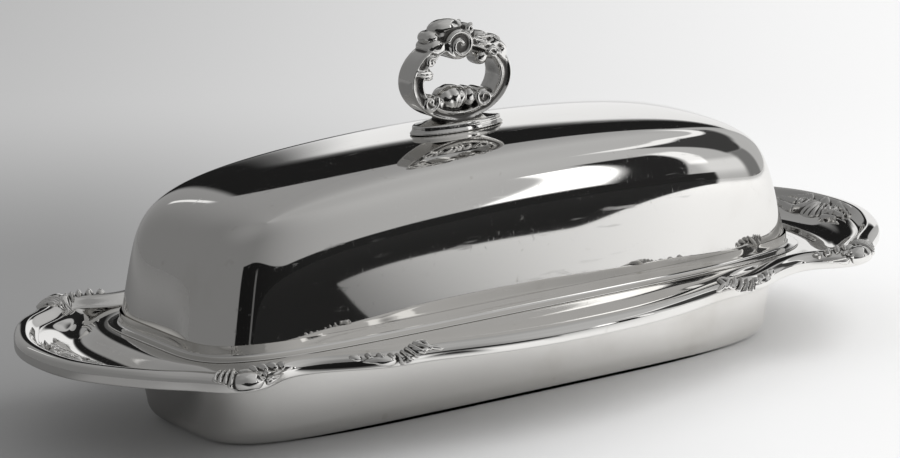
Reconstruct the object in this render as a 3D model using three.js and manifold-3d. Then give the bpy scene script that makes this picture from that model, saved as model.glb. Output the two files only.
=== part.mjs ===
// Covered butter dish in silver plate: an oblong dish with an ornamented border and scooped ends,
// a glass liner that holds the butter, and a domed cover with a cast scroll finial.
// Lengths are millimetres. +X runs along the dish, +Z is up and the dish stands on z = 0.
import * as THREE from 'three';
import { LoftGeometry } from 'three/addons/geometries/LoftGeometry.js';
import { mergeVertices } from 'three/addons/utils/BufferGeometryUtils.js';
import Module from 'manifold-3d';

const wasm = await Module();
wasm.setup();

// Sheet of the dish
const ledgeHeight = 23.5;
const sheetThickness = 1.25;
const clearance = 0.3;

// Well, measured outside the sheet, with walls that flare out to its mouth
const wellFootLength = 164;
const wellFootWidth = 56;
const wellFlareAlong = 3;
const wellFlareAcross = 1.5;
const wellFootRadius = 5;
const wellSquareness = 4.6;
const wellMouthLength = wellFootLength + 2 * wellFlareAlong;
const wellMouthWidth = wellFootWidth + 2 * wellFlareAcross;

// Cover, which stands round the mouth of the well
const coverLapAlong = 1.75;
const coverLapAcross = 1.5;
const coverHeight = 38.8;
const coverThickness = 1.2;
const coverSquareness = 5.2;
const crownAlong = 6.4;
const crownAcross = 3.4;
const footBeadWidth = 2.3;
const footBeadHeight = 3.2;
const coverLength = wellMouthLength + 2 * coverLapAlong;
const coverWidth = wellMouthWidth + 2 * coverLapAcross;

// Flat seat round the mouth that the cover stands on
const seatMarginAlong = 3.75;
const seatMarginAcross = 3.5;
const seatLength = coverLength + 2 * seatMarginAlong;
const seatWidth = coverWidth + 2 * seatMarginAcross;

// Ledge at the sides and scooped handles at the ends, from the seat out to the edge
const handleReach = 27.5;
const sideReach = 23.5;
const sideDip = 1.1;
const endDip = 2.6;
const sideLift = 0.1;
const endLift = 0.8;
const overallLength = seatLength + 2 * handleReach;
const overallWidth = seatWidth + 2 * sideReach;

// Border moulding with its turned-down lip
const sideBorderWidth = 7.6;
const endBorderWidth = 5.8;
const borderRise = 1.9;
const lipDrop = 2;
const lipThickness = 1.1;
const jointGap = 0.3;

// Applied castings on the border: length along it, relief, reach over the ledge and down the lip
const castingSeat = 0.65;
const castingEdge = 0.5;
const bendSpan = 3;
const cornerShellLength = 27;
const cornerShellRise = 1.9;
const cornerShellReach = 3.4;
const cornerShellLip = 1.6;
const tipShellLength = 27;
const tipShellRise = 1.5;
const tipShellReach = 5.2;
const scrollLength = 30;
const scrollRise = 1.6;
const scrollReach = 2.4;
const scrollLip = 1.2;

// Cast finial
const ringWidth = 29;
const ringHeight = 20;
const ringBand = 3;
const ringDepth = 7.4;
const crestRise = 3.7;
const finialFootLength = 30;
const finialFootWidth = 10.4;
const finialFootHeight = 2.5;
const studRadius = 1.6;
const studReach = 5;
const washerRadius = 5.6;
const washerThickness = 1;
const nutAcrossFlats = 7;
const nutHeight = 2.8;
const studTail = 0.8;

// Glass liner
const linerGap = 1.5;
const linerThickness = 2.6;
const linerRise = 21;
const linerSquareness = 5.5;
const linerRimWidth = 1.2;
const linerRimHeight = 2.2;

// Steps of the curved surfaces
const aroundDish = 112;
const aroundCover = 64;
const aroundLiner = 48;
const coverSteps = 9;
const coverInnerSteps = 6;
const skinSteps = 6;
const castingSides = 36;
const outlineSamples = 240;
const lengthDivisions = 960;
const ringSections = 28;
const ringSides = 10;
const lobeSides = 10;
const lobeRows = 6;
const footSides = 24;
const holeSides = 16;
const studSides = 14;
const plateSegments = 10;
const nutSides = 6;

// Shares that shape the outlines
const quarterTurn = Math.PI / 2;
const halfTurn = Math.PI;
const fullTurn = Math.PI * 2;
const quarterShare = 0.25;
const halfShare = 0.5;
const rimOutlineShares = [
  [1, 0], [0.987, 0.216], [0.944, 0.41], [0.886, 0.57], [0.834, 0.665], [0.792, 0.757],
  [0.746, 0.802], [0.695, 0.784], [0.644, 0.735], [0.576, 0.748], [0.508, 0.811], [0.441, 0.865],
  [0.373, 0.883], [0.28, 0.928], [0.186, 0.973], [0.085, 0.996],
];
const cornerShellPlaceShare = 0.735;
const scrollPlaceShare = 0.425;
const endStartShare = 0.78;
const endFullShare = 0.93;
const coverDraftShare = 0.08;
const holeBlendShare = 0.32;
const topRingShare = 0.22;
const roundShares = [0, 0.29, 1];
// Hollow flare of the foot bead, as shares of its width and height.
const footFlareShares = [[1, 0], [1, 0.22], [0.5, 0.36], [0.17, 0.62], [0, 1]];
const coverShoulderPower = 7.5;
const ledgeRingShares = [0.25, 0.5, 0.7, 0.85];
// Rings of a casting from its middle to its edge, below and above.
const castingUnderShares = [0, 0.16, 0.32, 0.48, 0.64, 0.78, 0.9, 1];
const castingTopShares = [1, 0.9, 0.74, 0.56, 0.38, 0.2, 0];
const tipShellOuterShare = 0.62;
const scallopCount = 9;
const scallopDepthShare = 0.07;
// Middle of the fan of ribs, as shares along and across the casting, and the depth of the ribs.
const fanFocusShares = [0, -0.85];
const fanRibs = 7;
const fanDepthShare = 0.36;
const scrollLobes = 3;
const ringSquareness = 3;
// Foot of the finial, as shares of its half length and its height.
const footProfileShares = [[0, 0], [1, 0], [0.98, 0.2], [0.84, 0.36], [0.8, 0.62], [0.6, 1], [0, 1]];
// Lobes of the finial: place along and up, then half sizes along, across and up.
const lobeShares = [
  [-0.19, 0.28, 0.32, 0.67, 0.32], [-0.7, 0.3, 0.16, 0.8, 0.22], [0.37, 0.26, 0.16, 0.8, 0.23],
  [-0.07, 0.81, 0.28, 0.85, 0.35], [-0.29, 0.93, 0.33, 0.7, 0.28], [-0.63, 0.91, 0.2, 0.6, 0.16],
  [0.13, 0.92, 0.14, 0.5, 0.17], [0.55, 0.77, 0.26, 0.8, 0.15], [0.45, 0.63, 0.13, 0.6, 0.19],
  [-0.68, 0.67, 0.14, 0.6, 0.14], [-0.8, 0.56, 0.14, 0.6, 0.12],
];

// Outlines

function signedPower(value, power) {
  return Math.sign(value) * Math.abs(value) ** power;
}

// An oblong with bowed sides and rounded corners: a superellipse, walked at an even pace.
function oblong(length, width, squareness) {
  const points = [];
  const power = 2 / squareness;
  for (let i = 0; i < outlineSamples; i += 1) {
    const turn = (i / outlineSamples) * fullTurn;
    points.push(new THREE.Vector3(
      (length / 2) * signedPower(Math.cos(turn), power),
      (width / 2) * signedPower(Math.sin(turn), power),
      0,
    ));
  }
  const curve = new THREE.CatmullRomCurve3(points, true);
  curve.arcLengthDivisions = lengthDivisions;
  return curve;
}

// The serpentine rim: one quarter of the outline, mirrored into the other three.
function rimOutline() {
  const quarter = rimOutlineShares.map(([along, across]) => new THREE.Vector3(
    (along * overallLength) / 2,
    (across * overallWidth) / 2,
    0,
  ));
  const top = new THREE.Vector3(0, overallWidth / 2, 0);
  const mirrored = quarter.slice(1).reverse().map((p) => new THREE.Vector3(-p.x, p.y, 0));
  const half = [...quarter, top, ...mirrored];
  const otherHalf = half.map((p) => new THREE.Vector3(-p.x, -p.y, 0));
  const curve = new THREE.CatmullRomCurve3([...half, ...otherHalf], true);
  curve.arcLengthDivisions = lengthDivisions;
  return curve;
}

function wrapTurn(turn) {
  return turn - Math.floor(turn);
}

// The turn in the first quarter where the rim has the given share of the half length.
function turnAtShare(curve, share) {
  let low = 0;
  let high = quarterShare;
  for (let i = 0; i < outlineSamples; i += 1) {
    const middle = (low + high) / 2;
    if (curve.getPointAt(middle).x > (share * overallLength) / 2) low = middle;
    else high = middle;
  }
  return (low + high) / 2;
}

function smoothStep(value, start, end) {
  const t = THREE.MathUtils.clamp((value - start) / (end - start), 0, 1);
  return t * t * (3 - 2 * t);
}

// Solids

function signedVolume(geometry) {
  const position = geometry.getAttribute('position');
  const index = geometry.getIndex();
  const a = new THREE.Vector3();
  const b = new THREE.Vector3();
  const c = new THREE.Vector3();
  let sum = 0;
  for (let i = 0; i < index.count; i += 3) {
    a.fromBufferAttribute(position, index.getX(i));
    b.fromBufferAttribute(position, index.getX(i + 1));
    c.fromBufferAttribute(position, index.getX(i + 2));
    sum += a.dot(b.cross(c));
  }
  return sum;
}

// A welded copy without slivers that have run together to a line.
function weld(geometry) {
  const bare = new THREE.BufferGeometry();
  bare.setAttribute('position', geometry.getAttribute('position'));
  bare.setIndex(geometry.getIndex());
  const merged = mergeVertices(bare);
  const kept = [];
  const source = merged.getIndex();
  for (let i = 0; i < source.count; i += 3) {
    const [a, b, c] = [source.getX(i), source.getX(i + 1), source.getX(i + 2)];
    if (a !== b && b !== c && c !== a) kept.push(a, b, c);
  }
  merged.setIndex(kept);
  return merged;
}

function middleOf(ring) {
  const middle = new THREE.Vector3();
  ring.forEach((point) => middle.add(point));
  return middle.divideScalar(ring.length);
}

// A loft that always faces outwards. Its ends are flat caps, fans about their middle, or joined.
function loft(sections, ends) {
  const build = (rows) => {
    const first = rows[0];
    const last = rows[rows.length - 1];
    let rings = rows;
    if (ends === 'joined') rings = [...rows, first];
    if (ends === 'fans') {
      const [start, finish] = [middleOf(first), middleOf(last)];
      rings = [first.map(() => start), ...rows, last.map(() => finish)];
    }
    const flat = ends === 'flat';
    return weld(new LoftGeometry(rings, { capStart: flat, capEnd: flat }));
  };
  const first = build(sections);
  return signedVolume(first) > 0 ? first : build(sections.map((ring) => [...ring].reverse()));
}

function toManifold(geometry) {
  const merged = weld(geometry);
  return new wasm.Manifold(new wasm.Mesh({
    numProp: 3,
    vertProperties: new Float32Array(merged.getAttribute('position').array),
    triVerts: new Uint32Array(merged.getIndex().array),
  }));
}

function fromManifold(solid) {
  const mesh = solid.getMesh();
  const geometry = new THREE.BufferGeometry();
  geometry.setAttribute('position', new THREE.BufferAttribute(mesh.vertProperties, 3));
  geometry.setIndex(new THREE.BufferAttribute(mesh.triVerts, 1));
  geometry.computeVertexNormals();
  return geometry;
}

// Finishes

function silverPlate() {
  return new THREE.MeshStandardMaterial({ color: 0xc9c7c2, roughness: 0.12, metalness: 1 });
}

function castSilver() {
  return new THREE.MeshStandardMaterial({ color: 0xbab7b0, roughness: 0.2, metalness: 1 });
}

function yellowBrass() {
  return new THREE.MeshStandardMaterial({ color: 0xb08d4a, roughness: 0.35, metalness: 1 });
}

function clearGlass() {
  return new THREE.MeshStandardMaterial({
    color: 0xdfe9e6, roughness: 0.05, metalness: 0, transparent: true, opacity: 0.4,
  });
}

const butterDish = new THREE.Group();

function addPiece(name, geometry, material) {
  if (!geometry.getAttribute('normal')) geometry.computeVertexNormals();
  const mesh = new THREE.Mesh(geometry, material);
  mesh.name = name;
  butterDish.add(mesh);
  return mesh;
}

// Places on the ledge, by turn round the dish and distance in from the rim

const rimCurve = rimOutline();
const seatCurve = oblong(seatLength, seatWidth, wellSquareness);
const rimRoundLength = rimCurve.getLength();

// Everything that the ledge needs at one of the even stations round the dish. The border runs
// square to the rim, and the ledge goes on from its foot to the seat.
function measureStation(index) {
  const turn = wrapTurn(index / aroundDish);
  const rim = rimCurve.getPointAt(turn);
  const bend = bendSpan / rimRoundLength;
  const ahead = rimCurve.getPointAt(wrapTurn(turn + bend));
  const behind = rimCurve.getPointAt(wrapTurn(turn - bend));
  const square = new THREE.Vector3(behind.y - ahead.y, ahead.x - behind.x, 0).normalize();
  const endness = smoothStep((2 * Math.abs(rim.x)) / overallLength, endStartShare, endFullShare);
  const width = THREE.MathUtils.lerp(sideBorderWidth, endBorderWidth, endness);
  const foot = rim.clone().addScaledVector(square, width);
  const inward = seatCurve.getPointAt(turn).sub(foot);
  const run = inward.length();
  inward.normalize();
  return {
    rim,
    square,
    foot,
    inward,
    run,
    width,
    dip: THREE.MathUtils.lerp(sideDip, endDip, endness),
    lift: THREE.MathUtils.lerp(sideLift, endLift, endness),
  };
}

const stations = [];
for (let i = 0; i < aroundDish; i += 1) stations.push(measureStation(i));

function stationAt(index) {
  return stations[((index % aroundDish) + aroundDish) % aroundDish];
}

// Height of the sheet's top face: a shallow hollow that rises again to the border.
function sheetTop(station, distance) {
  const share = THREE.MathUtils.clamp(1 - (distance - station.width) / station.run, 0, 1);
  return ledgeHeight - station.dip * Math.sin(share * halfTurn) + station.lift * share * share;
}

function placeOn(station, distance, height) {
  const onBorder = Math.min(distance, station.width);
  const point = station.rim.clone().addScaledVector(station.square, onBorder);
  point.addScaledVector(station.inward, distance - onBorder);
  point.z = height;
  return point;
}

// Dish pan: one drawn sheet, from the floor of the well up over the ledge to the edge and back beneath

function ovalRing(curve, count, height, shrink = 1) {
  const ring = [];
  for (let i = 0; i < count; i += 1) {
    const point = curve.getPointAt(i / count);
    ring.push(new THREE.Vector3(point.x * shrink, point.y * shrink, height));
  }
  return ring;
}

function wellRing(growth, inset, height) {
  const length = THREE.MathUtils.lerp(wellFootLength, wellMouthLength, growth) - 2 * inset;
  const width = THREE.MathUtils.lerp(wellFootWidth, wellMouthWidth, growth) - 2 * inset;
  return ovalRing(oblong(length, width, wellSquareness), aroundDish, height);
}

function ledgeRing(distanceAt, drop) {
  return stations.map((station) => {
    const distance = distanceAt(station);
    return placeOn(station, distance, sheetTop(station, distance) - drop);
  });
}

function buildDishPan() {
  const sections = [];
  const innerRadius = wellFootRadius - sheetThickness;
  const roundFoot = (share, inset, floor) => {
    const angle = share * quarterTurn;
    const radius = floor > 0 ? innerRadius : wellFootRadius;
    const inwards = radius * (1 - Math.sin(angle));
    return wellRing(0, inset + inwards, floor + radius * (1 - Math.cos(angle)));
  };
  roundShares.forEach((share) => sections.push(roundFoot(share, sheetThickness, sheetThickness)));
  sections.push(wellRing(1, sheetThickness, ledgeHeight));
  sections.push(ovalRing(seatCurve, aroundDish, ledgeHeight));
  const ledgePlace = (share) => (station) => station.width + (1 - share) * station.run;
  ledgeRingShares.forEach((share) => sections.push(ledgeRing(ledgePlace(share), 0)));
  sections.push(ledgeRing((station) => station.width, 0));
  sections.push(ledgeRing(() => lipThickness + clearance, 0));
  sections.push(ledgeRing(() => lipThickness + clearance, sheetThickness));
  sections.push(ledgeRing((station) => station.width, sheetThickness));
  [...ledgeRingShares].reverse().forEach((share) => {
    sections.push(ledgeRing(ledgePlace(share), sheetThickness));
  });
  sections.push(ovalRing(seatCurve, aroundDish, ledgeHeight - sheetThickness));
  sections.push(wellRing(1, 0, ledgeHeight - sheetThickness));
  [...roundShares].reverse().forEach((share) => sections.push(roundFoot(share, 0, 0)));
  return loft(sections, 'fans');
}

// Border: a hollow moulding over the sheet's edge, with a lip turned down outside it

function borderSection(station) {
  const points = [];
  const half = station.width / 2;
  const base = sheetTop(station, 0) + clearance;
  for (let i = 0; i <= skinSteps; i += 1) {
    const angle = (i / skinSteps) * halfTurn;
    points.push(placeOn(station, half + half * Math.cos(angle), base + borderRise * Math.sin(angle)));
  }
  points.push(placeOn(station, 0, base - lipDrop));
  points.push(placeOn(station, lipThickness, base - lipDrop));
  points.push(placeOn(station, lipThickness, base));
  return points;
}

function mixSections(first, second, share) {
  return first.map((point, i) => point.clone().lerp(second[i], share));
}

function buildBorder(startIndex, endIndex) {
  const sections = [];
  for (let i = startIndex; i <= endIndex; i += 1) sections.push(borderSection(stationAt(i)));
  const trim = (jointGap * aroundDish) / rimRoundLength;
  const last = sections.length - 1;
  sections[0] = mixSections(sections[0], sections[1], trim);
  sections[last] = mixSections(sections[last], sections[last - 1], trim);
  return loft(sections, 'flat');
}

// Applied castings: each lies over the border on an oval plan with a lobed edge

// A place that far along a walk up the lip, over the border and on over the ledge, raised by an
// offset that points outwards on the outer half and straight up on the rest.
function overBorder(station, walkShare, shape, offset) {
  const half = station.width / 2;
  const base = sheetTop(station, 0) + clearance;
  const outerAngle = shape.outerShare * halfTurn;
  const arch = (outerAngle * (half + borderRise)) / 2;
  const walk = walkShare * (shape.lip + arch + shape.reach);
  const angle = outerAngle * THREE.MathUtils.clamp(1 - (walk - shape.lip) / arch, 0, 1);
  const rise = Math.max(angle, quarterTurn);
  const onLedge = Math.max(0, walk - shape.lip - arch);
  const distance = half + (half + castingSeat) * Math.cos(angle) + onLedge;
  const skin = base - clearance + castingSeat + (borderRise + clearance) * Math.sin(angle);
  const ledgeFall = sheetTop(station, distance) - sheetTop(station, 0);
  const lipFall = Math.max(0, shape.lip - walk);
  return placeOn(
    station,
    distance + offset * Math.cos(rise),
    skin + ledgeFall - lipFall + offset * Math.sin(rise),
  );
}

function castingPoint(turn, along, across, shape, offset) {
  const place = (turn + (shape.hand * along * shape.length) / 2 / rimRoundLength) * aroundDish;
  const index = Math.floor(place);
  const walkShare = (1 + across) / 2;
  const first = overBorder(stationAt(index), walkShare, shape, offset);
  const second = overBorder(stationAt(index + 1), walkShare, shape, offset);
  return first.lerp(second, place - index);
}

function castingRing(turn, shape, size, offsetAt) {
  const ring = [];
  for (let i = 0; i < castingSides; i += 1) {
    const angle = (i / castingSides) * fullTurn;
    const lobe = Math.abs(Math.sin((angle * scallopCount) / 2));
    const out = size * (1 - scallopDepthShare * (1 - lobe));
    const along = out * Math.cos(angle);
    const across = out * Math.sin(angle);
    ring.push(castingPoint(turn, along, across, shape, offsetAt(along, across)));
  }
  return ring;
}

function buildCasting(turn, shape) {
  const relief = (along, across) => castingEdge + shape.rise * shape.relief(along, across);
  const sections = [
    ...castingUnderShares.map((size) => castingRing(turn, shape, size, () => 0)),
    ...castingTopShares.map((size) => castingRing(turn, shape, size, relief)),
  ];
  return loft(sections, 'fans');
}

function dome(along, across) {
  return Math.sqrt(Math.max(0, 1 - along * along - across * across));
}

// A scallop: ribs that fan out from a point near the outer edge.
function shellRelief(along, across) {
  const [focusAlong, focusAcross] = fanFocusShares;
  const spread = Math.atan2(across - focusAcross, along - focusAlong);
  const ribs = Math.abs(Math.cos(spread * fanRibs));
  return dome(along, across) * (1 - fanDepthShare * (1 - ribs));
}

// A scroll: three lobes that grow towards the curl at one end.
function scrollRelief(along, across) {
  const lobes = Math.abs(Math.sin((along + 1) * halfShare * scrollLobes * halfTurn));
  return dome(along, across) * (halfShare + halfShare * lobes);
}

// Cover: walls with a little draft, tight shoulders and a top arched both ways

const coverOuter = oblong(coverLength, coverWidth, coverSquareness);
const coverInner = oblong(
  coverLength - 2 * coverThickness,
  coverWidth - 2 * coverThickness,
  coverSquareness,
);
const coverTop = ledgeHeight + coverHeight;
const coverHoleRadius = studRadius + clearance;

function coverRing(curve, inset, angle) {
  const planShare = Math.max(0, Math.cos(angle)) ** (2 / coverShoulderPower);
  const riseShare = Math.max(0, Math.sin(angle)) ** (2 / coverShoulderPower);
  const narrowed = planShare * (1 - coverDraftShare * riseShare);
  const blend = smoothStep(planShare, 0, holeBlendShare);
  const ring = [];
  for (let i = 0; i < aroundCover; i += 1) {
    const turn = i / aroundCover;
    const edge = curve.getPointAt(turn);
    const x = THREE.MathUtils.lerp(coverHoleRadius * Math.cos(turn * fullTurn), edge.x * narrowed, blend);
    const y = THREE.MathUtils.lerp(coverHoleRadius * Math.sin(turn * fullTurn), edge.y * narrowed, blend);
    const drop = crownAlong * ((2 * x) / coverLength) ** 2 + crownAcross * ((2 * y) / coverWidth) ** 2;
    ring.push(new THREE.Vector3(x, y, ledgeHeight + (coverHeight - inset - drop) * riseShare));
  }
  return ring;
}

// Even steps up the wall and over the shoulder, one ring near the top, and the hole for the stud.
function coverAngles(steps) {
  const angles = [];
  for (let i = 0; i < steps; i += 1) angles.push((i / steps) * quarterTurn);
  angles.push(Math.acos(topRingShare ** (coverShoulderPower / 2)));
  angles.push(quarterTurn);
  return angles;
}

function buildCoverShell() {
  const outer = coverAngles(coverSteps).map((angle) => coverRing(coverOuter, 0, angle));
  const inner = coverAngles(coverInnerSteps).map((angle) => coverRing(coverInner, coverThickness, angle));
  return loft([...outer, ...inner.reverse()], 'joined');
}

function buildFootBead() {
  const grow = (offset, height) => {
    const length = coverLength + 2 * offset;
    const width = coverWidth + 2 * offset;
    return ovalRing(oblong(length, width, coverSquareness), aroundCover, height);
  };
  const flare = footFlareShares.map(([out, up]) => (
    grow(clearance + out * footBeadWidth, ledgeHeight + up * footBeadHeight)
  ));
  return loft([grow(clearance, ledgeHeight), ...flare], 'joined');
}

// Finial: a scroll ring on an oval foot, cast in one

const finialBase = coverTop + clearance;
const finialHeight = finialFootHeight + ringHeight + crestRise;
const ringCentre = finialBase + finialFootHeight + ringHeight / 2 - clearance;

function buildRing() {
  const sections = [];
  const pathX = (ringWidth - ringBand) / 2;
  const pathZ = (ringHeight - ringBand) / 2;
  for (let i = 0; i < ringSections; i += 1) {
    const turn = (i / ringSections) * fullTurn;
    const outX = Math.cos(turn);
    const outZ = Math.sin(turn);
    const section = [];
    for (let j = 0; j < ringSides; j += 1) {
      const side = (j / ringSides) * fullTurn;
      const out = (ringBand / 2) * signedPower(Math.cos(side), 2 / ringSquareness);
      const depth = (ringDepth / 2) * signedPower(Math.sin(side), 2 / ringSquareness);
      section.push(new THREE.Vector3((pathX + out) * outX, depth, ringCentre + (pathZ + out) * outZ));
    }
    sections.push(section);
  }
  return toManifold(loft(sections, 'joined'));
}

function buildLobe([along, up, halfAlong, halfAcross, halfUp]) {
  const ball = new THREE.SphereGeometry(1, lobeSides, lobeRows);
  ball.rotateX(quarterTurn);
  ball.scale((halfAlong * ringWidth) / 2, (halfAcross * ringDepth) / 2, (halfUp * ringHeight) / 2);
  ball.translate((along * ringWidth) / 2, 0, finialBase + up * finialHeight);
  return toManifold(ball);
}

function buildFinial() {
  const profile = footProfileShares.map(([out, up]) => new THREE.Vector2(out, up));
  const foot = new THREE.LatheGeometry(profile, footSides);
  foot.rotateX(quarterTurn);
  foot.scale(finialFootLength / 2, finialFootWidth / 2, finialFootHeight + ringBand / 2);
  foot.translate(0, 0, finialBase);
  const holeRadius = studRadius + clearance;
  const hole = new THREE.CylinderGeometry(holeRadius, holeRadius, 2 * (studReach + clearance), holeSides);
  hole.rotateX(quarterTurn);
  hole.translate(0, 0, finialBase);
  let solid = toManifold(foot).add(buildRing());
  lobeShares.forEach((lobe) => { solid = solid.add(buildLobe(lobe)); });
  return fromManifold(solid.subtract(toManifold(hole)));
}

// Fastening of the finial, inside the cover

const washerTop = coverTop - coverThickness - clearance;
const nutTop = washerTop - washerThickness;

function ringPlate(outline, holeRadius, height, bottom) {
  const hole = new THREE.Path();
  hole.absarc(0, 0, holeRadius, 0, fullTurn, true);
  outline.holes.push(hole);
  const plate = new THREE.ExtrudeGeometry(outline, {
    depth: height, bevelEnabled: false, curveSegments: plateSegments,
  });
  plate.translate(0, 0, bottom);
  return plate;
}

function buildWasher() {
  const outline = new THREE.Shape();
  outline.absarc(0, 0, washerRadius, 0, fullTurn, false);
  return ringPlate(outline, studRadius + clearance, washerThickness, washerTop - washerThickness);
}

function buildNut() {
  const outline = new THREE.Shape();
  const cornerRadius = nutAcrossFlats / Math.sqrt(3);
  for (let i = 0; i < nutSides; i += 1) {
    const turn = (i / nutSides) * fullTurn;
    const x = cornerRadius * Math.cos(turn);
    const y = cornerRadius * Math.sin(turn);
    if (i === 0) outline.moveTo(x, y);
    else outline.lineTo(x, y);
  }
  outline.closePath();
  return ringPlate(outline, studRadius + clearance, nutHeight, nutTop - nutHeight);
}

function buildStud() {
  const bottom = nutTop - nutHeight - studTail;
  const top = finialBase + studReach;
  const stud = new THREE.CylinderGeometry(studRadius, studRadius, top - bottom, studSides);
  stud.rotateX(quarterTurn);
  stud.translate(0, 0, (top + bottom) / 2);
  return stud;
}

// Glass liner: a plain tray that stands on the floor of the well

function buildLiner() {
  const footLength = wellFootLength - 2 * (sheetThickness + linerGap + wellFootRadius);
  const footWidth = wellFootWidth - 2 * (sheetThickness + linerGap + wellFootRadius);
  const topLength = wellFootLength - 2 * (sheetThickness + linerGap + linerRimWidth);
  const topWidth = wellFootWidth - 2 * (sheetThickness + linerGap + linerRimWidth);
  const ring = (length, width, height) => (
    ovalRing(oblong(length, width, linerSquareness), aroundLiner, height)
  );
  const floor = sheetThickness;
  const bend = floor + wellFootRadius;
  const rimFoot = floor + linerRise - linerRimHeight;
  const wall = 2 * linerThickness;
  return loft([
    ring(footLength, footWidth, floor),
    ring((footLength + topLength) / 2, (footWidth + topWidth) / 2, bend),
    ring(topLength, topWidth, rimFoot),
    ring(topLength + 2 * linerRimWidth, topWidth + 2 * linerRimWidth, rimFoot),
    ring(topLength + 2 * linerRimWidth, topWidth + 2 * linerRimWidth, floor + linerRise),
    ring(topLength - wall, topWidth - wall, floor + linerRise),
    ring((footLength + topLength) / 2 - wall, (footWidth + topWidth) / 2 - wall, bend + linerThickness),
    ring(footLength - wall, footWidth - wall, floor + linerThickness),
  ], 'fans');
}

// Assembly

const cornerTurn = turnAtShare(rimCurve, cornerShellPlaceShare);
const scrollTurn = turnAtShare(rimCurve, scrollPlaceShare);
const cornerIndex = Math.round(cornerTurn * aroundDish);
const halfAround = aroundDish / 2;

const cornerShell = {
  length: cornerShellLength,
  rise: cornerShellRise,
  reach: cornerShellReach,
  lip: cornerShellLip,
  outerShare: 1,
  relief: shellRelief,
};
const tipShell = {
  length: tipShellLength,
  rise: tipShellRise,
  reach: tipShellReach,
  lip: 0,
  outerShare: tipShellOuterShare,
  relief: shellRelief,
  hand: 1,
};
const sideScroll = {
  length: scrollLength,
  rise: scrollRise,
  reach: scrollReach,
  lip: scrollLip,
  outerShare: 1,
  relief: scrollRelief,
};

addPiece('dish_pan', buildDishPan(), silverPlate());
addPiece('border_rear', buildBorder(cornerIndex, halfAround - cornerIndex), silverPlate());
addPiece('handle_rim_left', buildBorder(halfAround - cornerIndex, halfAround + cornerIndex), silverPlate());
addPiece('border_front', buildBorder(halfAround + cornerIndex, aroundDish - cornerIndex), silverPlate());
addPiece('handle_rim_right', buildBorder(-cornerIndex, cornerIndex), silverPlate());

// The four corners, by the turn of a place in the first quarter and the hand of its carving.
const corners = [
  ['right_rear', (turn) => turn, 1],
  ['left_rear', (turn) => halfShare - turn, -1],
  ['left_front', (turn) => halfShare + turn, 1],
  ['right_front', (turn) => 1 - turn, -1],
];
corners.forEach(([corner, turnOf, hand]) => {
  const shell = buildCasting(turnOf(cornerTurn), { ...cornerShell, hand });
  const scroll = buildCasting(turnOf(scrollTurn), { ...sideScroll, hand });
  addPiece(`corner_shell_${corner}`, shell, castSilver());
  addPiece(`side_scroll_${corner}`, scroll, castSilver());
});
addPiece('tip_shell_right', buildCasting(1, tipShell), castSilver());
addPiece('tip_shell_left', buildCasting(halfShare, tipShell), castSilver());

addPiece('glass_liner', buildLiner(), clearGlass());
addPiece('cover_shell', buildCoverShell(), silverPlate());
addPiece('cover_foot_bead', buildFootBead(), silverPlate());
addPiece('finial', buildFinial(), castSilver());
addPiece('finial_stud', buildStud(), yellowBrass());
addPiece('finial_washer', buildWasher(), yellowBrass());
addPiece('finial_nut', buildNut(), yellowBrass());

export default butterDish;
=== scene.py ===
import math
from collections import namedtuple

import bpy
import numpy as np
from bpy.props import FloatProperty, FloatVectorProperty, PointerProperty
from bpy.types import Operator, Panel, PropertyGroup
from mathutils import Matrix, Vector


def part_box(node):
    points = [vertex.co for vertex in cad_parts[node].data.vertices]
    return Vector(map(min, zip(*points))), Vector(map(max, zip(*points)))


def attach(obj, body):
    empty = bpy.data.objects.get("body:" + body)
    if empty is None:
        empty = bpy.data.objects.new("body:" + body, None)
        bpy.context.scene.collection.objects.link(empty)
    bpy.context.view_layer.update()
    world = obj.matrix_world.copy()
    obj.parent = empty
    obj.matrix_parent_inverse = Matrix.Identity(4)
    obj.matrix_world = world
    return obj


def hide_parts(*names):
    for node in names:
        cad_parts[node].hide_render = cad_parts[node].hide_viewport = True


bl_info = {
    "name": "Covered butter dish",
    "version": (1, 0, 0),
    "blender": (4, 5, 0),
    "location": "3D View > Sidebar > Butter dish",
    "description": "Makes the pieces of a silver plated butter dish round its packed frame",
    "category": "Object",
}

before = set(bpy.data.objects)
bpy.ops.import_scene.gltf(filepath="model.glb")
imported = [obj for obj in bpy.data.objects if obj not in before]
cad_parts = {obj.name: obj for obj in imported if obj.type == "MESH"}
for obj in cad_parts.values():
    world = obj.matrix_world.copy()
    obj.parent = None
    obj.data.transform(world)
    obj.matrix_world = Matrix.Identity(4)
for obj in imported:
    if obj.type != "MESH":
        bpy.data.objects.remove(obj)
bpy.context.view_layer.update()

MM = 0.001
TURN = 2 * math.pi
HALF = math.pi
QUARTER = math.pi / 2

# Steps of the surfaces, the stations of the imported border, and the angle of a sharp edge
FINE_STEPS = 14400
SPLINE_STEPS = 240
AROUND_DISH = 720
AROUND_COVER = 640
AROUND_LINER = 420
AROUND_CASTING = 288
SOLID_STATIONS = 112
CURL_STEPS = 90
SHARP_ANGLE = math.radians(50)

# How far pieces reach into each other or clear each other where they only need to touch
TOUCH = 0.1 * MM

# One quarter of the rim, as shares of its half length and half width
RIM_SHARES = (
    (1, 0), (0.987, 0.216), (0.944, 0.41), (0.886, 0.57), (0.834, 0.665), (0.792, 0.757),
    (0.746, 0.802), (0.695, 0.784), (0.644, 0.735), (0.576, 0.748), (0.508, 0.811), (0.441, 0.865),
    (0.373, 0.883), (0.28, 0.928), (0.186, 0.973), (0.085, 0.996),
)
# The span that the rim's direction is taken over, where the sides' form goes over into the handles'
# form, how skewed the hollow is, and where the corner shells and the side scrolls sit
BEND_SPAN = 3 * MM
END_START, END_FULL = 0.78, 0.93
SIDE_SKEW, END_SKEW = 2.1, 1.0
CORNER_SHARE, SCROLL_SHARE = 0.735, 0.425


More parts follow.
